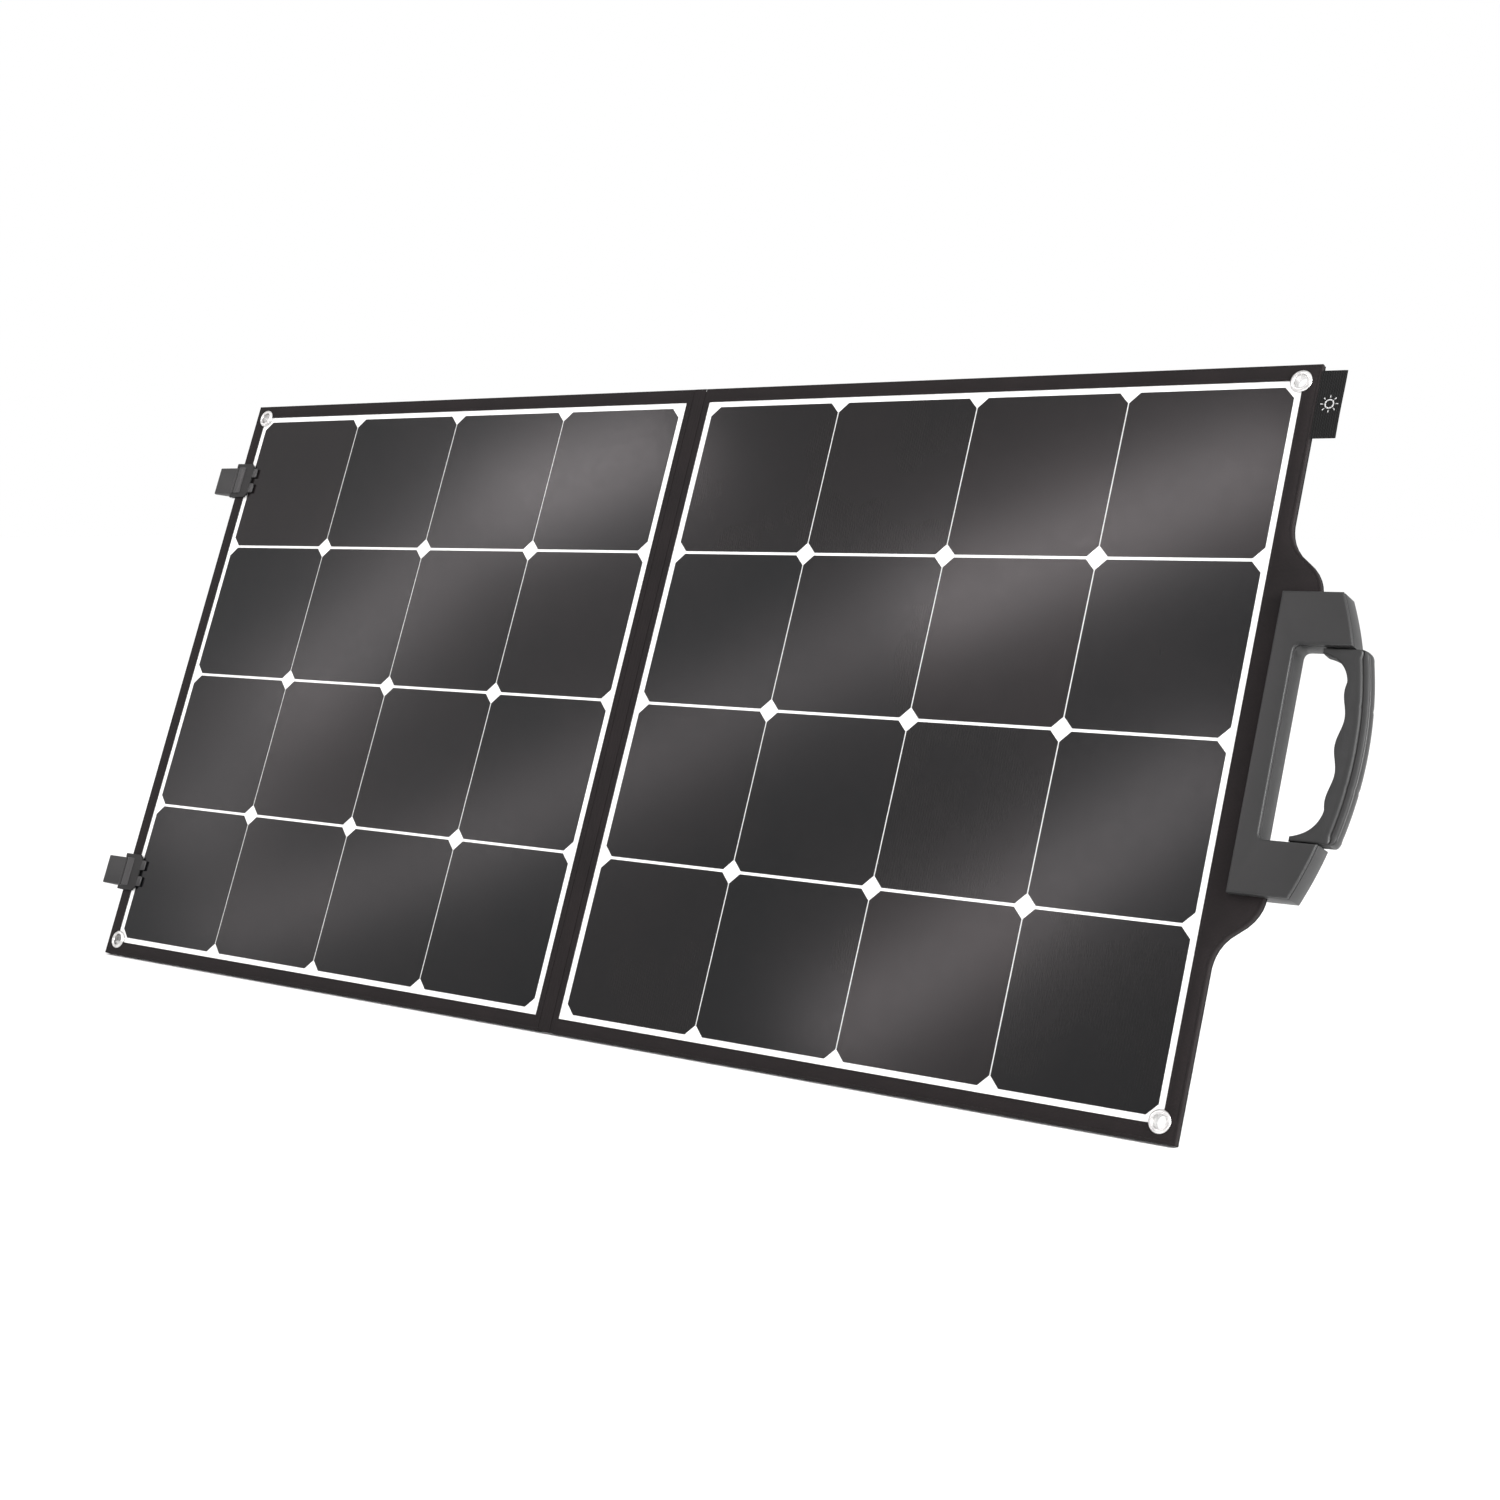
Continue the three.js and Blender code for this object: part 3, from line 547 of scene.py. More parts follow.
def make_border(name, side):
    """The fabric that frames a leaf: a lip over the laminate, two sewn lines and a rolled outer edge."""
    outer, inner = matched_loops(side)
    inwards = inward(outer)
    outwards = [-step for step in inward(inner)]
    shaky = random.Random(11 + side)
    section = [
        ("in", 2.0, -0.02), ("in", 0.12, 0.02), ("in", 0.0, 0.25), ("in", 0.25, 0.52), ("in", 0.9, 0.6),
        ("in", 1.6, 0.56), ("in", 2.0, 0.42), ("in", 2.4, 0.56), ("out", 2.6, 0.6), ("out", 2.1, 0.42),
        ("out", 1.6, 0.58), ("out", 0.9, 0.6), ("out", 0.3, 0.35), ("out", 0.04, -0.25), ("out", 0.0, -1.4),
        ("out", 0.05, -2.8), ("out", 0.3, -3.8), ("out", 0.8, -4.25), ("out", 1.7, -4.25), ("out", 1.8, -0.1),
    ]
    verts = []
    for index in range(len(outer)):
        ripple = shaky.uniform(-0.05, 0.05)
        for kind, distance, height in section:
            base, step = (inner, outwards) if kind == "in" else (outer, inwards)
            point = Vector(base[index]) + step[index] * distance
            lift = ripple if height > 0.5 else 0
            verts.append((point.x, point.y, min(height + lift, 0.66)))
    made = fit(f"{name}_border_fabric", (verts, ring_faces(len(outer), len(section))), "border",
               f"{name}_leaf", [f"{name}_border"], eyelet_cutters(side), sharp=CLOTH_SHARP)
    sewn = make_border_stitching(name, side)


def stitch(x, y, z, angle, length=2.6, width=0.42, height=0.22):
    """One raised stitch, as a small six-sided bead lying along its seam."""
    verts = []
    c, s = math.cos(angle), math.sin(angle)
    stations = ((-0.5, 0.35, 0.1), (-0.32, 1, 0.85), (0.0, 1, 1), (0.32, 1, 0.85), (0.5, 0.35, 0.1))
    for along, wide, tall in stations:
        for across, up in ((-0.5, 0), (-0.3, 0.8), (0.3, 0.8), (0.5, 0)):
            a, b = along * length, across * width * wide
            verts.append((x + a * c - b * s, y + a * s + b * c, z + up * height * tall))
    return verts, wrap(len(stations), 4)


def seam(points, z, gap=3.6, back=False, skip=()):
    """Stitches along a line of points, a gap apart, leaving out those near a place to skip."""
    found = []
    carried = 0.0
    for (x0, y0), (x1, y1) in zip(points, points[1:]):
        length = math.hypot(x1 - x0, y1 - y0)
        if length < 1e-6:
            continue
        angle = math.atan2(y1 - y0, x1 - x0)
        while carried < length:
            x = x0 + (x1 - x0) * carried / length
            y = y0 + (y1 - y0) * carried / length
            if all(math.hypot(x - px, y - py) > r for px, py, r in skip):
                found.append(stitch(x, y, z, angle, height=-0.22 if back else 0.22))
            carried += gap
        carried -= length
    return found


def sew(name, rows, body, place=PANEL):
    """The stitches of rows, as one piece of thread."""
    return fit(name, together(*rows), "thread", body, place=place)


def inset_line(loop, distance):
    steps = inward(loop)
    line = [tuple(Vector(point) + step * distance) for point, step in zip(loop, steps)]
    return line + line[:1]


def unsewn_places(side):
    """Rounds (x, y, radius) under the eyelets, the handle and the latches, where no stitch shows."""
    if side > 0:
        under = [(645, MIDDLE, 144)]
    else:
        under = [(-535, MIDDLE + offset, 19.5) for offset in (-LATCH_Y, LATCH_Y)]
    return [(x, y, 9.2) for x, y in eyelet_places(side)] + under


def make_border_stitching(name, side):
    outer, inner = matched_loops(side)
    skip = unsewn_places(side)
    rows = seam(inset_line(inner, -2.0), 0.4, skip=skip) + seam(inset_line(outer, 2.1), 0.4, skip=skip)
    return sew(f"{name}_border_stitching", rows, f"{name}_leaf")


# ---- back cover ----
def ripple(seed, low, high, scale=1):
    """A function of x and y that wanders gently between -1 and 1."""
    shaky = random.Random(seed)
    waves = [(shaky.uniform(0, 6.3), shaky.uniform(low, high), shaky.uniform(low, high)) for _ in range(9)]
    return lambda x, y: sum(math.sin(p + x * fx * scale + y * fy * scale) for p, fx, fy in waves) / len(waves)


def make_cover(name, side):
    """The back of a leaf: one sheet of fabric, drawn in at its sewn hem and slightly slack between."""
    outer, inner = matched_loops(side)
    inwards = inward(outer)
    swell = ripple(5 + side, -0.05, 0.05)

    def slack(x, y):
        edge = min(abs(x) - BORDER, REACH - BORDER - abs(x), y - BORDER, HEIGHT - BORDER - y)
        ease = max(0.0, min(1.0, edge / 30.0))
        return -4.82 + 0.17 * swell(x, y) * ease

    hem = [
        (0.0, -4.42), (0.0, -4.7), (0.3, -4.96), (1.2, -5.0), (2.0, -4.8), (2.8, -5.0), (5.5, -5.0),
        (6.6, -4.86),
    ]
    verts = []
    for distance, height in hem:
        verts += [(*(Vector(point) + step * distance), height) for point, step in zip(outer, inwards)]
    verts += [(x, y, slack(x, y)) for x, y in inner]
    count = len(outer)
    faces = wrap(len(hem) + 1, count, capped=False) + [tuple(range(count))]
    across, up = REACH - 2 * BORDER, HEIGHT - 2 * BORDER
    columns, rows = round(across / STEP), round(up / STEP)
    grid = {}
    for index, (x, y) in enumerate(inner):
        key = round((abs(x) - BORDER) / across * columns), round((y - BORDER) / up * rows)
        grid[key] = len(hem) * count + index
    for i in range(columns + 1):
        for j in range(rows + 1):
            if (i, j) not in grid:
                x, y = side * (BORDER + across * i / columns), BORDER + up * j / rows
                grid[i, j] = len(verts)
                verts.append((x, y, slack(x, y)))
    for i in range(columns):
        for j in range(rows):
            faces.append((grid[i, j], grid[i + 1, j], grid[i + 1, j + 1], grid[i, j + 1]))
    made = fit(f"{name}_back_fabric", (verts, faces), "cover", f"{name}_leaf",
               [f"{name}_back_cover"], eyelet_cutters(side), sharp=CLOTH_SHARP)
    make_cover_stitching(name, side)


def make_cover_stitching(name, side):
    outer, _ = matched_loops(side)
    skip = unsewn_places(side)
    rows = seam(inset_line(outer, 2.0), -4.86, back=True, skip=skip)
    rows += seam(inset_line(outer, 8.0), -4.88, back=True, skip=skip)
    return sew(f"{name}_back_stitching", rows, f"{name}_leaf")


# ---- fold ----
STRIP_END = 0.3  # from the end of a fold strip to the leaf's edge


def strip_mesh(half, z0, z1, ribs):
    """A strip of fabric along the fold, with shallow ribs, fine enough across to bend smoothly."""
    columns, rows = 28, 90
    verts = []
    for j in range(rows + 1):
        y = STRIP_END + (HEIGHT - 2 * STRIP_END) * j / rows
        for side, z in ((1, z1), (-1, z0)):
            for i in range(columns + 1):
                x = side * (-half + 2 * half * i / columns)
                edge = 0.22 if i in (0, columns) else 0
                rib = ribs * math.cos(x / half * 4 * math.pi) if 0 < i < columns else 0
                verts.append((x, y, z - side * edge + (rib if side > 0 else rib * 0.5)))
    return verts, wrap(rows + 1, 2 * (columns + 1))


def bend_with_fold(made, node):
    """Stands for a node: hides it and bakes the piece's placing into its mesh."""
    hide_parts(node)
    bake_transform(made)


def make_fold():
    half = FOLD_EDGE - 0.04
    specs = (
        ("fold_front_fabric", 0.02, 0.5, 0.07, "border", "border_fabric", "fold_front_strip"),
        ("fold_back_fabric", -4.95, -4.45, 0.05, "cover", "cover_fabric", "fold_back_strip"),
    )
    for name, z0, z1, ribs, look, slot, node in specs:
        made = piece(name, *strip_mesh(half, z0, z1, ribs), look, sharp=70)
        bend_with_fold(made, node)


def make_conductor():
    """Flat copper conductor in black film, across the fold."""
    steps, reach = 18, 13.4
    low, high, back, front = 250.2, 279.8, -3.2, -2.8
    verts = []
    for i in range(steps + 1):
        x = -reach + 2 * reach * i / steps
        verts += [(x, low, back), (x, high, back), (x, high, front), (x, low, front)]
    made = piece("fold_flat_conductor", verts, wrap(steps + 1, 4), "black")
    bend_with_fold(made, "fold_conductor")


# ---- cells ----
def make_cells(name, side):
    """Four strings of four cells with cut corners, each cell with a tone of its own."""
    wide, tall = CELL / 2 + 0.45, CELL / 2 - 0.15
    cut = CHAMFER
    tones = random.Random(29 + side)
    for column in range(4):
        x = side * (FIRST_COLUMN + (column + 0.5) * PITCH)
        parts, tone = [], []
        for row in range(4):
            y = MIDDLE + (row - 1.5) * PITCH
            loop = [
                (x + wide - cut, y - tall), (x + wide, y - tall + cut), (x + wide, y + tall - cut),
                (x + wide - cut, y + tall), (x - wide + cut, y + tall), (x - wide, y + tall - cut),
                (x - wide, y - tall + cut), (x - wide + cut, y - tall),
            ]
            parts.append(loft(loop, [(-0.1, 0), (0.1, 0), (0.2, 0.15)]))
            tone += [tones.random()] * len(parts[-1][0])
        made = piece(f"{name}_cells_{column + 1}", *together(*parts), "cells", sharp=20)
        layer = made.data.attributes.new("tone", "FLOAT", "POINT")
        layer.data.foreach_set("value", np.array(tone, np.float32))
        finish_piece(made, f"{name}_leaf", [f"{name}_cell_string_{column + 1}"])


# ---- eyelets ----
def make_eyelets(name, side):
    for level, (x, y) in zip(("lower", "upper"), eyelet_places(side)):
        ring = turned(x, y, [
            (4.7, -5.9), (4.72, 0.6), (4.85, 1.3), (5.2, 1.85), (5.8, 2.08), (6.5, 2.0), (7.2, 1.7),
            (7.8, 1.25), (8.06, 0.9), (8.08, 0.72), (7.6, 0.7), (5.3, 0.7), (5.2, -5.4), (5.15, -6.0),
            (4.95, -6.12), (4.75, -6.05),
        ], 64)
        fit(f"{name}_{level}_eyelet_ring", ring, "nickel",
            f"{name}_leaf", [f"{name}_{level}_eyelet"], sharp=80)
        washer = turned(x, y, [
            (5.5, -5.3), (8.0, -5.3), (8.05, -5.45), (7.8, -5.8), (7.2, -6.05), (6.2, -6.1), (5.55, -5.9),
        ], 48)
        fit(f"{name}_{level}_washer_ring", washer, "nickel",
            f"{name}_leaf", [f"{name}_{level}_eyelet_washer"], sharp=80)


# ---- handle ----
ARC_CENTRE = 354.5
PRONG_ARC = 255.6
GRIP_ARC = 265.0
PIVOT = (590, -4)  # x and z of the line that the grip swivels on
PIN_HOLE = 2.7
SCREW_X = 551
SCREW_Y = (-88, -30, 30, 88)  # from the leaf's middle
# the darker rubber inside this is partly painted shade on the grip's inner side
SOFT_AND_SHADED_SIDE = 249.5  # the grip's rubber lies nearer to the arc's centre than this


def arc_points(radius, start, end, steps):
    """Points on the arc that the prongs and the grip share, by distance from the leaf's middle."""
    angles = [math.asin(value / radius) for value in (start, end)]
    turns = [angles[0] + (angles[1] - angles[0]) * i / steps for i in range(steps + 1)]
    return [(ARC_CENTRE + radius * math.cos(t), MIDDLE + radius * math.sin(t)) for t in turns]


def arc_point(radius, away):
    return (ARC_CENTRE + math.sqrt(radius * radius - away * away), MIDDLE + away)


def housing_loop():
    half, gap, start, opening, corner = 103.5, 66.5, 545.4, 560.5, 5.0
    low, high = MIDDLE - gap, MIDDLE + gap
    loop = [(start, MIDDLE - half), *arc_points(PRONG_ARC, -half, -gap - 4.5, 14), arc_point(PRONG_ARC, -gap)]
    loop += bezier((opening + corner, low), (opening, low), (opening, low + corner), 8)
    loop += bezier((opening, high - corner), (opening, high), (opening + corner, high), 8)
    loop += [arc_point(PRONG_ARC, gap), *arc_points(PRONG_ARC, gap + 4.5, half, 14)]
    loop.append((start, MIDDLE + half))
    return loop


def box_mesh(x0, x1, y0, y1, z0, z1):
    return loft([(x0, y0), (x1, y0), (x1, y1), (x0, y1)], [(z0, 0), (z1, 0)])


def make_housing():
    """The handle's body and front shell, clamped over the tongue of the right leaf."""
    body_rings = [
        (-15.0, 2.2), (-14.9, 1.5), (-14.5, 0.9), (-13.8, 0.3), (-12.8, 0.0), (2.7, 0.0), (3.1, 0.25),
        (3.3, 0.9), (3.9, 1.5),
    ]
    body = piece("handle_body_moulding", *loft(housing_loop(), body_rings), "grey")
    past_end, screw_seat, front = 110, -12.4, 5
    cutters = [box_mesh(540, 557.2, MIDDLE - past_end, MIDDLE + past_end, BACK, SLOT_FRONT)]
    for end in (-1, 1):
        # the slot for the tongue, the hollow in the prong and the bore for the grip's pin
        low, high = span(MIDDLE, end, 73.2, past_end)
        cutters.append(box_mesh(540.1, 570.6, low, high, BACK, SLOT_FRONT))
        low, high = span(MIDDLE, end, 71, 80)
        cutters.append(box_mesh(574, 594.5, low, high, screw_seat, front))
        cutters.append(loft(circle(*PIVOT, PIN_HOLE), [(MIDDLE + end * 60, 0), (MIDDLE + end * 72, 0)], along_y))
    for spot in SCREW_Y:
        cutters.append(loft(circle(SCREW_X, MIDDLE + spot, 1.9, 16), [(-16, 0), (4.5, 0)]))
        cutters.append(loft(circle(SCREW_X, MIDDLE + spot, 3.6, 28), [(-16, 0), (screw_seat, 0)]))
    cut_away(body, cutters)
    finish_piece(body, "right_leaf", ["handle_body"])
    front_rings = [
        (4.2, 1.5), (4.3, 0.7), (4.5, 0.2), (4.8, 0.0), (5.6, 0.0), (6.2, 0.2), (6.65, 0.65), (6.9, 1.3),
        (7.0, 2.1),
    ]
    fit("handle_front_moulding", loft(housing_loop(), front_rings), "grey",
        "right_leaf", ["handle_front_shell"])


def grip_loop():
    """The grip's outline, anticlockwise, each point with how far it belongs to the round outer side."""
    half, root, bar = 65.5, 580.0, 601.0
    straight, finger, wave = 44, 37, 1.7  # half of the fingered stretch, one finger's width and its depth
    loop = [(root, MIDDLE - half, 0.0)]
    edge = arc_point(GRIP_ARC, 6 - half)
    lower = bezier((edge[0] - 5.6, MIDDLE - half), (edge[0] - 0.8, MIDDLE - half), edge, 6)
    loop += [(x, y, 0.2 + 0.8 * i / 6) for i, (x, y) in enumerate(lower)]
    for x, y in arc_points(GRIP_ARC, -(half - 7.5), half - 7.5, 60):
        seam_depth = 0.35 if abs(abs(y - MIDDLE) - 27.0) < 0.9 else 0.0
        loop.append((x - seam_depth, y, 1.0))
    upper = bezier(arc_point(GRIP_ARC, half - 6), (edge[0] - 0.8, MIDDLE + half),
                   (edge[0] - 5.6, MIDDLE + half), 6)
    loop += [(x, y, 1.0 - 0.8 * i / 6) for i, (x, y) in enumerate(upper)]
    loop.append((root, MIDDLE + half, 0.0))
    inner = bezier((root, half - 3.5), (597, 58.5), (bar - 1, straight), 12)
    steps = 64
    for step in range(1, steps):
        place = straight - 2 * straight * step / steps
        inner.append((bar - math.cos(place / finger * 2 * math.pi) * wave, place))
    inner += bezier((bar - 1, -straight), (597, -58.5), (root, -half + 3.5), 12)
    loop += [(x, MIDDLE + y, 0.0) for x, y in inner]
    return loop


def make_grip():
    """The swivelling grip in two shells, with darker soft rubber on the side towards the leaf: partly overmould,
    partly painted shade.
    """
    back_rings = [
        (-12.0, 1.4, 7.0), (-11.8, 0.9, 5.4), (-11.2, 0.5, 3.8), (-10.2, 0.2, 2.3), (-8.6, 0.05, 1.1),
        (-6.0, 0.0, 0.3), (-4.0, 0.0, 0.0), (-2.0, 0.0, 0.05), (-0.4, 0.0, 0.3), (0.3, 0.1, 0.6),
        (0.6, 0.5, 0.8),
    ]
    front_rings = [
        (0.9, 0.5, 0.8), (1.1, 0.15, 0.9), (1.5, 0.05, 1.5), (2.0, 0.05, 2.3), (2.4, 0.08, 3.2),
        (2.62, 0.1, 4.0), (2.3, 0.12, 4.5), (1.9, 0.14, 5.0), (2.2, 0.18, 5.6), (2.9, 0.25, 6.1),
        (3.3, 0.5, 6.8), (3.53, 0.9, 7.6), (3.6, 1.4, 8.6),
    ]
    for name, rings, node in (("grip_back_moulding", back_rings, "grip_back_shell"),
                              ("grip_front_moulding", front_rings, "grip_front_shell")):
        made = piece(name, *loft(grip_loop(), rings), ["grey", "soft"], sharp=50)
        inverse = PANEL.inverted()
        # faces on the inner side take the darker rubber: partly overmould, partly painted shade
        for face in made.data.polygons:
            centre = inverse @ face.center
            if math.hypot(centre.x - ARC_CENTRE, centre.y - MIDDLE) < SOFT_AND_SHADED_SIDE:
                face.material_index = 1
        if node == "grip_back_shell":
            holes = []
            for end in (-1, 1):
                low, high = span(MIDDLE, end, 60, 66.5)
                holes.append(loft(circle(*PIVOT, PIN_HOLE), [(low, 0), (high, 0)], along_y))
            cut_away(made, holes)
        finish_piece(made, "grip", [node])


# ---- latches ----
LATCH_X, LATCH_Z = -545.5, 0.6  # the line that a flap turns on


def make_latch(level, y):
    """A clip latch: the hinged flap, and the base that holds the leaf's edge."""
    half, lug = 13.0, 16.8
    reach, front, depth = 26.5, 1.4, 9.6
    profile = [(LATCH_X - 1.2, LATCH_Z - 2.2), (LATCH_X - 1.2, LATCH_Z + front)]
    profile += bezier((LATCH_X - reach + 3, LATCH_Z + front), (LATCH_X - reach, LATCH_Z + front),
                      (LATCH_X - reach, LATCH_Z + front - 3.2), 6)
    profile += bezier((LATCH_X - reach, LATCH_Z + front - 3.2), (LATCH_X - reach + 9, LATCH_Z - depth + 4),
                      (LATCH_X - 6, LATCH_Z - depth), 10)[1:]
    profile += [(LATCH_X - 3.4, LATCH_Z - depth + 1)]
    rims = [(y - half, 0.7), (y - half + 0.2, 0.2), (y - half + 0.7, 0)]
    rims += [(y + half - 0.7, 0), (y + half - 0.2, 0.2), (y + half, 0.7)]
    barrel = circle(LATCH_X, LATCH_Z, 2.4)
    flap = together(loft(profile, rims, along_y), loft(barrel, ends(y - half, y + half, 0.2), along_y))
    fit(f"{level}_latch_clip", flap, "dark", f"{level}_latch", [f"{level}_latch_flap"])

    edge = -REACH - 0.3
    strip = [(edge - 1.2, y - lug), (-526.6, y - lug), (-523.4, y - lug + 3.2), (-523, y - lug + 4.4),
             (-523, y + lug - 4.4), (-523.4, y + lug - 3.2), (-526.6, y + lug), (edge - 1.2, y + lug)]
    ridge = [(edge - 1.1, 2.6), (-533.6, 2.6), (-533.8, 3.3), (-534.6, 3.9), (-535.8, 4.1), (-540.2, 4.1),
             (-541.6, 3.8), (edge - 1.1, 3.0)]
    parts = [
        loft(strip, [(0.9, 0.25), (1.1, 0), (2.4, 0), (2.75, 0.25), (2.9, 0.7)]),
        loft(strip, [(-7.2, 0.7), (-7.0, 0.2), (-6.6, 0), (-5.5, 0), (-5.3, 0.2)]),
        loft([(edge - 1.2, y - lug), (edge, y - lug), (edge, y + lug), (edge - 1.2, y + lug)],
             [(-7.0, 0.1), (2.8, 0.1)]),
    ]
    raised = [loft(ridge, ends(y - half, y + half, 0.35), along_y)]
    for offset in (-7.5, 7.5):
        raised.append(soft_box(-524, -517.5, y + offset - 4.6, y + offset + 4.6, 0.9, 2.4, 1.2, 0.5))
    # the ridge's paler plastic is a painted highlight along it
    fit(f"{level}_latch_ridge", together(*raised), "pale", "left_leaf")
    for end in (-1, 1):
        low, high = span(y, end, 13.3, lug)
        parts.append(loft(barrel, ends(low, high, 0.3), along_y))
        back, front = LATCH_Z - 2.2, LATCH_Z + 2.2
        arm = [(LATCH_X, back), (edge, back), (edge, front), (LATCH_X, front)]
        parts.append(loft(arm, ends(low, high, 0.3), along_y))
    for offset in (-9, 9):
        parts.append(loft(circle(-532, y + offset, 2.1), [(-7.9, 0.4), (-7.7, 0.1), (-7.1, 0)]))
    # the base's very black plastic is partly painted shade
    fit(f"{level}_latch_block", together(*parts), "black",
        "left_leaf", [f"{level}_latch_base"])


# ---- kickstands ----
STAND_Y, STAND_Z, STAND_LENGTH = 400.0, -9.5, 384.0
STAND_X = 240.0
BARREL_RADIUS = 3.9
STRAP_WIDTH = 25.0
STRAP_START = 150.0  # where the strap leaves the leaf
STRAP_END = 250.0  # where it meets the leg, from the hinge


def stand_opening():
    """Angle between the leaf and the open leg, from the height of the hinge over the ground."""
    height = Vector(JOINTS["left_stand_hinge"]["pos_m"]).z / MM
    return LEAN + math.acos(height / STAND_LENGTH)


def leg_frame(x):
    turn = Matrix.Rotation(stand_opening(), 4, "X")
    return PANEL @ Matrix.Translation(Vector((x, STAND_Y, STAND_Z))) @ turn


def make_leg(name, side):
    """A stiff board in fabric, bound round its edge, on a moulded barrel."""
    x = side * STAND_X
    place = leg_frame(x)
    bottom = -372.1
    loop = [(-81.6, bottom)]
    loop += [(81.6, bottom), (80.9, -330.0), (61.9, -15.5)]
    loop += bezier((61.8, -14.5), (61.0, -9.5), (54.0, -7.2), 5) + [(49.7, -6.0), (49.7, -1.0)]
    loop += [(-49.7, -1.0), (-49.7, -6.0)] + bezier((-54.0, -7.2), (-61.0, -9.5), (-61.8, -14.5), 5)
    loop += [(-61.9, -15.5), (-80.9, -330.0)]
    rim = [(0.8, 0), (1.35, 0.15), (1.72, 0.7), (1.8, 1.4)]
    rims = [(-height, inset) for height, inset in reversed(rim)] + rim
    fit(f"{name}_stand_board", loft(loop, rims), "cover",
        f"{name}_stand", [f"{name}_stand_leg"], place=place)
    barrel = loft(circle(0, 0, BARREL_RADIUS, 28), ends(-49.9, 49.9, 0.4), along_x)
    tang = loft([(-14.0, -2.5), (1.0, -2.9), (1.0, 2.9), (-14.0, 2.5)],
                [(-49.6, 0.5), (-49, 0), (49, 0), (49.6, 0.5)], along_x)
    fit(f"{name}_stand_barrel", together(barrel, tang), "dark", f"{name}_stand", place=place)
    line = [(-77.5, bottom + 4), (-58.2, -17.5), (58.2, -17.5), (77.5, bottom + 4), (-77.5, bottom + 4)]
    rows = seam(line, 1.74) + seam(line, -1.74, back=True)
    sew(f"{name}_stand_stitching", rows, f"{name}_stand", place=place)


def make_stand_hinge(name, side):
    x = side * STAND_X
    plate = soft_box(x - 62, x + 62, STAND_Y + 6, STAND_Y + 34, -7.8, BACK, 5, 0.7)
    parts = [plate]
    for end in (-1, 1):
        low, high = span(x, end, 50.4, 62)
        ring = circle(STAND_Y, STAND_Z, BARREL_RADIUS, 28)
        parts.append(loft(ring, ends(low, high, 0.5), along_x))
        arm = [(0, -10.4), (3.4, -10.4), (9, -7.6), (9, BACK), (0, -5.6)]
        arm = [(STAND_Y + up, z) for up, z in arm]
        parts.append(loft(arm, ends(low, high, 0.3), along_x))
    for offset in (-40, 0, 40):
        middle = x + offset
        parts.append(soft_box(middle - 13, middle + 13, STAND_Y + 28.6, STAND_Y + 30, -8.1, -7.6, 0.6, 0.2))
    fit(f"{name}_stand_hinge_block", together(*parts), "dark",
        f"{name}_leaf", [f"{name}_stand_hinge"])
    rivets = []
    for offset in (-52, -20, 20, 52):
        dome = [(0.02, -9.3), (1.4, -9.2), (2.6, -8.8), (3.2, -8.2), (3.3, -7.75)]
        rivets.append(turned(x + offset, STAND_Y + 20, dome, 24, closed=False))
    fit(f"{name}_stand_rivets", together(*rivets), "steel", f"{name}_leaf")


def make_foot(name, side):
    """The rubber foot, with grooves across its sole and a moulded lip."""
    x = side * STAND_X
    place = leg_frame(x)
    tilt = stand_opening() - LEAN

    def sole(z, lift=0.0):
        return -(STAND_LENGTH * math.cos(tilt) - z * math.sin(tilt) - lift) / math.cos(tilt)

    profile = [(-372.4, 3.2), (-373.0, 3.7), (sole(3.7, 0.6), 3.7), (sole(3.1), 3.1)]
    for z in (0.6, -1.9, -4.4):
        profile += [(sole(z + 0.5), z + 0.5), (sole(z + 0.4, 0.9), z + 0.4), (sole(z - 0.4, 0.9), z - 0.4),
                    (sole(z - 0.5), z - 0.5)]
    profile += [(sole(-6.4), -6.4), (sole(-7.0, 0.6), -7.0), (-375.6, -7.0), (-373.2, -5.0), (-372.4, -4.2)]
    loop = list(reversed(profile))
    rims = ends(-82, 82, 0.5)
    fit(f"{name}_stand_shoe", loft(loop, rims, along_x), "rubber",
        f"{name}_stand", [f"{name}_stand_foot"], place=place)


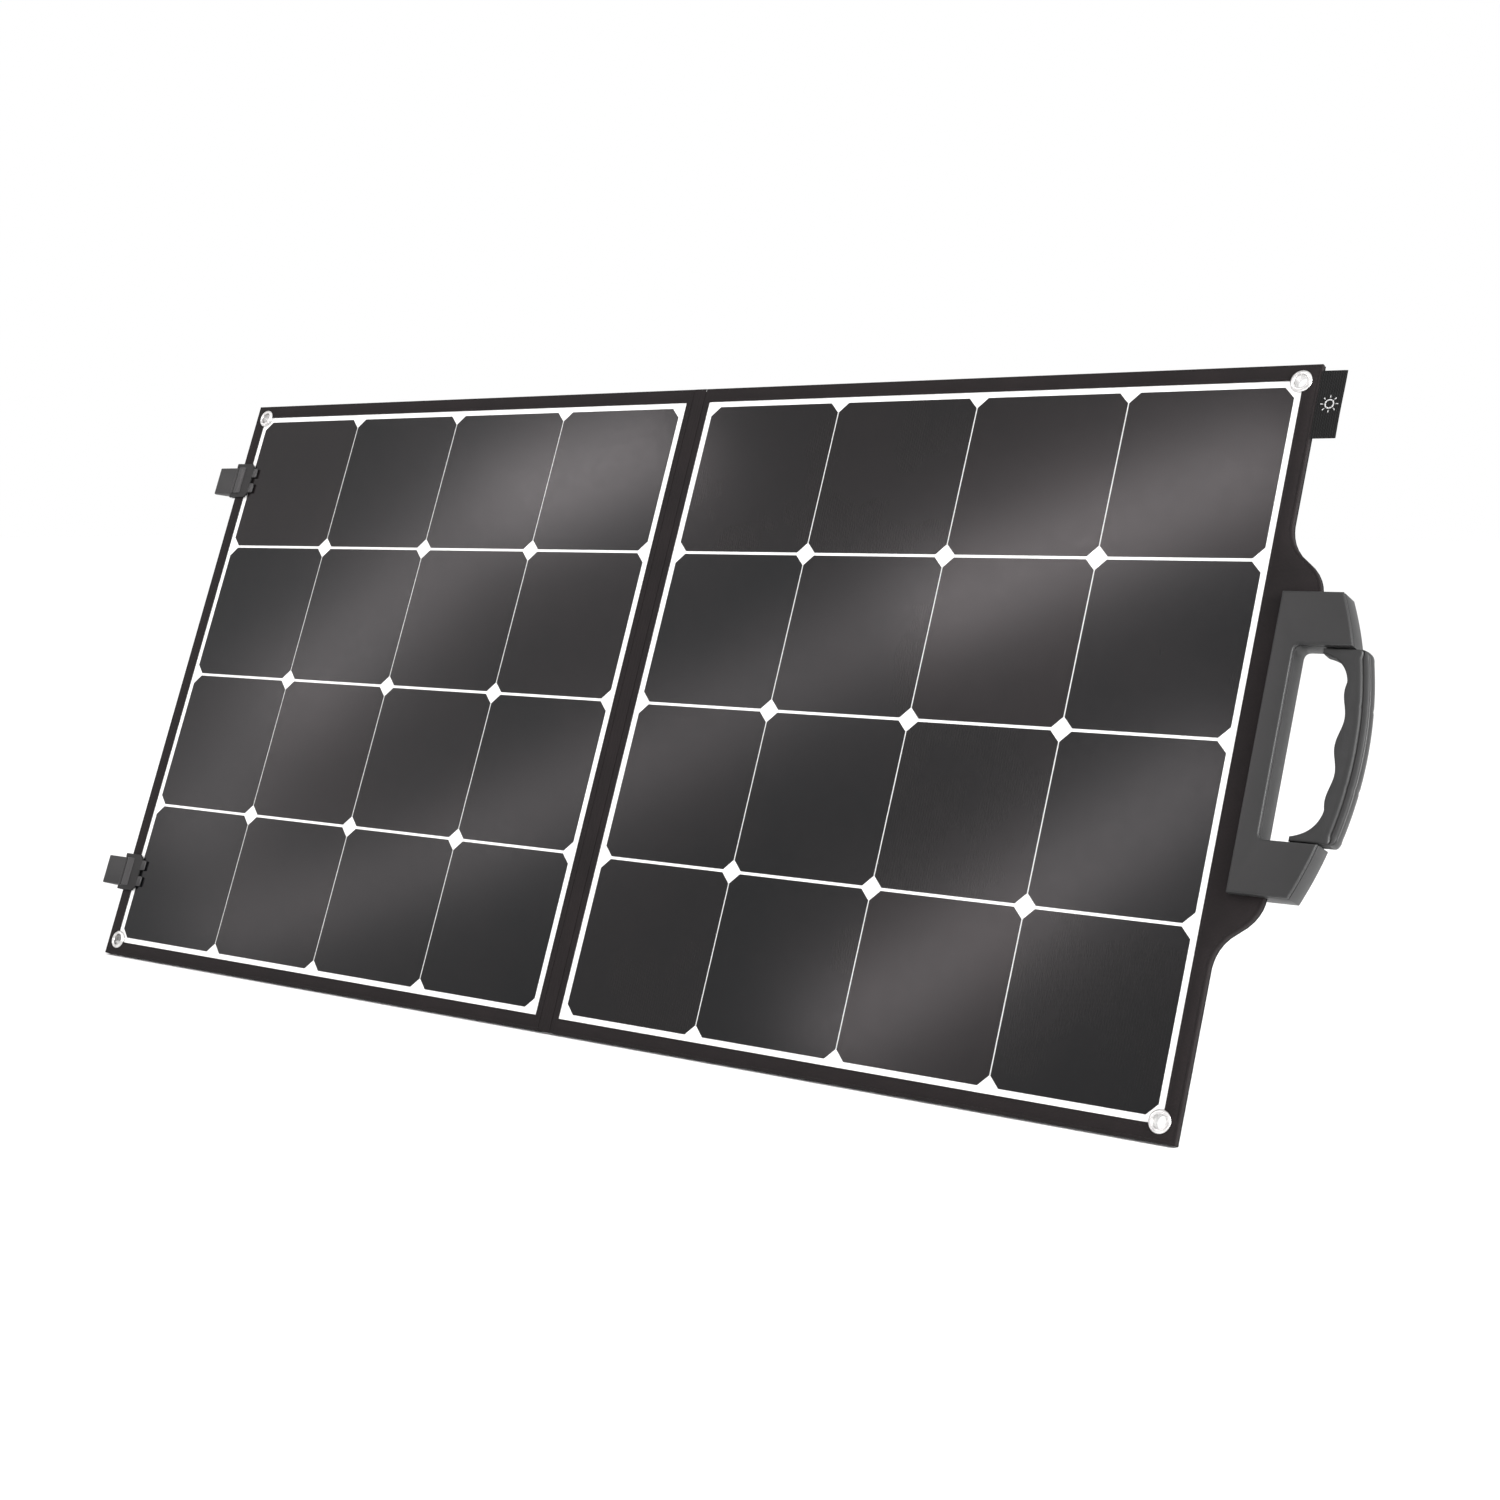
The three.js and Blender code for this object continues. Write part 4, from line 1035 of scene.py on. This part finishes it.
def make_strap(name, side):
    """Webbing from the leaf to the open leg, with a sewn tab at each end."""
    x = side * STAND_X
    opening = stand_opening()
    start = Vector((STRAP_START, -5.0))
    inner = 1.8
    end = Vector((STAND_Y - STRAP_END * math.cos(opening) - inner * math.sin(opening),
                  STAND_Z - STRAP_END * math.sin(opening) + inner * math.cos(opening)))
    run = end - start
    steps = 40
    normal = Vector((-run.y, run.x)).normalized()
    columns = 6
    verts = []
    for i in range(steps + 1):
        t = 0.004 + 0.992 * i / steps
        centre = start + run * t + normal * (0.8 * math.sin(math.pi * t))
        for side_sign in (1, -1):
            for k in range(columns + 1):
                offset = side_sign * (k / columns - 0.5) * STRAP_WIDTH
                thick = 0.62 if 0 < k < columns else 0.35
                point = centre + normal * thick * side_sign
                verts.append((x + offset, point.x, point.y))
    faces = wrap(steps + 1, 2 * (columns + 1))
    made = piece(f"{name}_stand_webbing", verts, faces, "webbing", CLOTH_SHARP)
    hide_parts(f"{name}_stand_strap")
    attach(made, f"{name}_leaf")
    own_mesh(made)
    tab = soft_box(x - 13.5, x + 13.5, 136, 163, -6.0, -5.1, 1.5, 0.3)
    fit(f"{name}_strap_tab", tab, "webbing", f"{name}_leaf")
    box = [(x - 11, 138.5), (x + 11, 138.5), (x + 11, 160.5), (x - 11, 160.5), (x - 11, 138.5)]
    rows = []
    for line in (box, (box[0], box[2]), (box[3], box[1])):
        rows += seam(line, -6.0, 3.2, back=True)
    sew(f"{name}_strap_stitching", rows, f"{name}_leaf")
    place = leg_frame(x)
    tab = soft_box(-13.5, 13.5, -264, -240, 1.85, 2.7, 1.5, 0.3)
    fit(f"{name}_leg_strap_tab", tab, "webbing", f"{name}_stand", place=place)
    box = [(-11, -262), (11, -262), (11, -242), (-11, -242), (-11, -262)]
    sew(f"{name}_leg_strap_stitching", seam(box, 2.7, 3.2), f"{name}_stand", place=place)


# ---- label tab ----
LABEL_WIDTH, LABEL_HEIGHT = 18.2, 49.6
LABEL_CORNER = (541.4, 484.2)
LABEL_MARK = (551.0, 509.0)


def make_label():
    """A folded woven tab with a plain ring and short rays round it, no lettering."""
    columns, rows = 10, 24
    verts = []
    for j in range(rows + 1):
        y = LABEL_CORNER[1] + LABEL_HEIGHT * j / rows
        for side, z in ((1, 0.34), (-1, -0.34)):
            for i in range(columns + 1):
                t = i / columns if side > 0 else 1 - i / columns
                x = LABEL_CORNER[0] + LABEL_WIDTH * t
                curl = 0.35 * math.sin(j / rows * 5.2) * t
                thin = 0.5 if t > 0.999 else 1.0
                verts.append((x, y, z * thin + curl))
    tab = fit("label_woven_tab", (verts, wrap(rows + 1, 2 * (columns + 1))), "label", "right_leaf",
              ["label_tab"], sharp=CLOTH_SHARP)
    rays = 8
    parts = [turned(*LABEL_MARK, [(2.6, 0.62), (3.5, 0.62), (3.5, 0.78), (2.6, 0.78)], 32)]
    for turn in range(rays):
        angle = 2 * math.pi * turn / rays
        a = Vector((math.cos(angle), math.sin(angle)))
        b = Vector((-a.y, a.x)) * 0.35
        p, q = Vector(LABEL_MARK) + a * 4.5, Vector(LABEL_MARK) + a * 6.3
        parts.append(loft([tuple(p - b), tuple(q - b), tuple(q + b), tuple(p + b)], [(0.6, 0), (0.78, 0)]))
    made = fit("label_woven_mark", together(*parts), "mark", "right_leaf")


# ---- junction box and pocket ----
BOX = (70, 166, 440, 500)  # x0, x1, y0, y1
POCKET = (345, 515, 50, 220)
ZIP_Y = 190


def make_junction_box():
    x0, x1, y0, y1 = BOX
    base = piece("junction_box_tray", *soft_box(x0, x1, y0, y1, -17, BACK, 5, 0.6), "dark")
    hollow = soft_box(x0 + 2, x1 - 2, y0 + 2, y1 - 2, -19, -7.3, 3.5, 0.4)
    bore = loft([(118 + a, b - 12) for a, b in circle(0, 0, 4.6)], [(y0 - 1, 0), (y0 + 3, 0)], along_y)
    cut_away(base, [hollow, bore])
    finish_piece(base, "right_leaf", ["junction_box_base"])
    lid = soft_box(x0, x1, y0, y1, -19.4, -17.3, 5, 0.7)
    ribs = [soft_box(x0 + 16, x1 - 16, y, y + 2.2, -19.6, -19.0, 1.0, 0.25) for y in range(456, 487, 5)]
    fit("junction_box_cover", together(lid, *ribs), "dark",
        "right_leaf", ["junction_box_lid"])
    heads = []
    for x in (x0 + 7, x1 - 7):
        for y in (y0 + 7, y1 - 7):
            heads.append(loft(circle(x, y, 2.2, 20), [(-19.6, 0.5), (-19.5, 0.2), (-19.2, 0)]))
    fit("junction_box_screws", together(*heads), "steel", "right_leaf")


def make_pocket():
    """A soft pouch for the lead: crowned, piped round its edge and closed by a zip."""
    x0, x1, y0, y1 = POCKET
    columns, rows = 60, 60
    folds = ripple(3, 0.01, 0.05, 4)
    verts, faces = [], []
    for j in range(rows + 1):
        for i in range(columns + 1):
            a, b = -1 + 2 * i / columns, -1 + 2 * j / rows
            squared = (a * math.sqrt(1 - b * b * 0.09), b * math.sqrt(1 - a * a * 0.09))
            x = (x0 + x1) / 2 + squared[0] * (x1 - x0) / 2
            y = (y0 + y1) / 2 + squared[1] * (y1 - y0) / 2
            crown = ((1 - abs(a) ** 5) * (1 - abs(b) ** 5)) ** 0.42 if abs(a) < 1 and abs(b) < 1 else 0
            zip_line = math.exp(-((y - ZIP_Y) / 3.2) ** 2)
            verts.append((x, y, BACK - 10.4 * crown * (1 + 0.12 * folds(x, y)) + 1.2 * zip_line * crown))
    for j in range(rows):
        for i in range(columns):
            k = j * (columns + 1) + i
            faces.append((k, k + 1, k + columns + 2, k + columns + 1))
    rim = [j * (columns + 1) for j in range(rows, 0, -1)] + list(range(0, columns))
    rim += [j * (columns + 1) + columns for j in range(rows)]
    rim += [rows * (columns + 1) + i for i in range(columns, 0, -1)]
    faces.append(tuple(rim))
    made = fit("pocket_pouch", (verts, faces), "cover",
               "right_leaf", ["storage_pocket"], sharp=60)
    outline = [verts[k][:2] for k in rim + rim[:1]]
    sew("pocket_stitching", seam(outline, -5.1, back=True), "right_leaf")
    teeth = []
    for k in range(86):
        x = x0 + 14 + k * 1.66
        tooth = soft_box(x, x + 1.0, 188.6 + (k % 2) * 0.5, 191.0 + (k % 2) * 0.5, -15.2, -14.1, 0.3, 0.15)
        teeth.append(tooth)
    for y in (186.2, 192.2):
        teeth.append(soft_box(x0 + 12, x1 - 12, y, y + 2.2, -14.6, -14.0, 0.8, 0.15))
    fit("pocket_zip_teeth", together(*teeth), "dark", "right_leaf")


def make_slider():
    """The zip's slider, with its pull lying flat, in the place of the CAD one."""
    inverse = PANEL.inverted()
    corners = [inverse @ vertex.co for vertex in frame["nodes"]["zip_slider"].data.vertices]
    (x0, x1), (y0, y1), (z0, z1) = ((min(values), max(values)) for values in zip(*corners))
    middle = (y0 + y1) / 2
    body = loft(
        [(x0, y0 + 1.5), (x1 - 2.5, y0), (x1, y0 + 2.2), (x1, y1 - 2.2), (x1 - 2.5, y1), (x0, y1 - 1.5)],
        [(z0 + 0.9, 0.4), (z0 + 1.1, 0), (z1 - 0.3, 0), (z1, 0.4)],
    )
    pull = loft(rounded(x0 - 0.1, x1 - 0.6, middle - 1.7, middle + 1.7, 1.2),
                [(z0, 0.2), (z0 + 0.2, 0), (z0 + 0.7, 0)])
    fit("zip_slider_body", together(body, pull), "nickel", "zip", ["zip_slider"])


# ---- CAD nodes that stay, with their materials ----
KEPT = {
    "left_laminate": "white", "right_laminate": "white", "left_board": "board", "right_board": "board",
    "junction_board": "circuit", "output_socket": "dark",
    "upper_grip_pin": "steel", "lower_grip_pin": "steel", "upper_latch_pin": "steel",
    "lower_latch_pin": "steel", "left_stand_pin": "steel", "right_stand_pin": "steel",
    **{f"handle_screw_{number}": "steel" for number in (1, 2, 3, 4)},
}


def dress_kept_nodes():
    for name, look in KEPT.items():
        node = frame["nodes"][name]
        node.data.materials.clear()
        node.data.materials.append(LOOK[look])
        node.data.shade_smooth()
        node.data.set_sharp_from_angle(angle=math.radians(SHARP))
        if look in ("steel", "dark"):
            edge = node.modifiers.new("edge", "BEVEL")
            edge.width = 0.00025
            edge.segments = 2
            edge.limit_method = "ANGLE"
            edge.angle_limit = math.radians(40)


# ---- stage, lights and camera ----
CAMERA_PLACE = (1204.0, -111.4, 1369.4)  # in the panel's frame
ELEVATION, AZIMUTH = 5.82, 37.34
LENS = 55.93


def add_to_scene(name, data):
    made = bpy.data.objects.new(name, data)
    bpy.context.scene.collection.objects.link(made)
    return made


def make_camera():
    data = bpy.data.cameras.new("camera")
    data.lens = LENS
    data.sensor_width = 36
    camera = add_to_scene("camera", data)
    camera.location = at(*CAMERA_PLACE)
    camera.rotation_euler = (math.radians(90 - ELEVATION), 0, math.radians(AZIMUTH))
    bpy.context.scene.camera = camera


def make_floor():
    mesh = bpy.data.meshes.new("floor")
    half = 30  # metres
    corners = [(-half, -half, 0), (half, -half, 0), (half, half, 0), (-half, half, 0)]
    mesh.from_pydata(corners, [], [(0, 1, 2, 3)])
    floor = add_to_scene("floor", mesh)
    pale = Shader("floor_pale", (0.9, 0.9, 0.9), 1.0)
    pale.set("Specular IOR Level", 0.0)
    mesh.materials.append(pale.material)


def make_world():
    world = bpy.data.worlds.new("studio")
    world.use_nodes = True
    background = world.node_tree.nodes["Background"]
    background.inputs["Color"].default_value = (1, 1, 1, 1)
    background.inputs["Strength"].default_value = 1.0
    bpy.context.scene.world = world
    bpy.context.scene.view_settings.view_transform = "Standard"


def make_sun():
    data = bpy.data.lights.new("sky_light", "SUN")
    data.energy = 0.6
    data.angle = math.radians(70)
    sun = add_to_scene("sky_light", data)
    sun.rotation_euler = Vector((0.30, -0.42, 0.86)).to_track_quat("Z", "Y").to_euler()


LIGHT_HEIGHT = 2000.0  # how far in front of the face the mirrored strips hang
STREAK_COLOUR = (1.0, 0.92, 0.94)


def mirrored(x, y):
    """Where a light hangs so that the camera sees it mirrored at a point of the panel's face."""
    eye = Vector(CAMERA_PLACE)
    share = (eye.z + LIGHT_HEIGHT) / eye.z
    return Vector((eye.x + (x - eye.x) * share, eye.y + (y - eye.y) * share, LIGHT_HEIGHT))


def area_light(name, size, power, colour=(1, 1, 1)):
    """A rectangular light that the camera itself does not see."""
    data = bpy.data.lights.new(name, "AREA")
    data.shape = "RECTANGLE"
    data.size, data.size_y = size
    data.energy = power
    data.color = colour
    light = add_to_scene(name, data)
    light.visible_camera = False
    return light


def streak(name, start, end, width, power):
    """A long soft light that the cells mirror as a band from start to end."""
    first, last = mirrored(*start), mirrored(*end)
    share = (CAMERA_PLACE[2] + LIGHT_HEIGHT) / CAMERA_PLACE[2]
    light = area_light(name, ((last - first).length * MM, width * share * MM), power, STREAK_COLOUR)
    along = (PANEL.to_3x3() @ (last - first)).normalized()
    across = OUT.cross(along).normalized()
    turn = Matrix((along, across, along.cross(across))).transposed()
    light.matrix_world = Matrix.Translation(PANEL @ ((first + last) / 2)) @ turn.to_4x4()


def side_light(name, place, target, size, power):
    light = area_light(name, size, power)
    light.location = place
    light.rotation_euler = (Vector(place) - Vector(target)).to_track_quat("Z", "Y").to_euler()


make_camera()
make_floor()
make_world()
make_sun()
streak("streak_left", (-480, 96), (-400, 230), 80, 1.1)
streak("streak_left_bend", (-400, 230), (-200, 430), 70, 3.0)
streak("streak_left_top", (-200, 430), (-10, 505), 75, 3.6)
streak("streak_middle", (-430, 20), (-150, 127), 50, 1.3)
streak("streak_middle_rise", (-150, 127), (250, 347), 50, 2.8)
streak("streak_middle_end", (250, 347), (540, 480), 50, 4.6)
streak("streak_right", (250, 20), (540, 265), 50, 3.6)
side_light("right_softbox", (3.0, -0.7, 1.0), (0.55, 0, 0.25), (1.0, 2.0), 90)
side_light("right_strip", (1.5, -0.1, 0.55), (0.55, 0, 0.26), (0.25, 0.9), 9)

for leaf, sign in (("left", -1), ("right", 1)):
    make_border(leaf, sign)
    make_cover(leaf, sign)
    make_cells(leaf, sign)
    make_eyelets(leaf, sign)
    make_leg(leaf, sign)
    make_stand_hinge(leaf, sign)
    make_foot(leaf, sign)
    make_strap(leaf, sign)
make_fold()
make_conductor()
make_housing()
make_grip()
make_latch("upper", MIDDLE + LATCH_Y)
make_latch("lower", MIDDLE - LATCH_Y)
make_label()
make_junction_box()
make_pocket()
make_slider()
dress_kept_nodes()
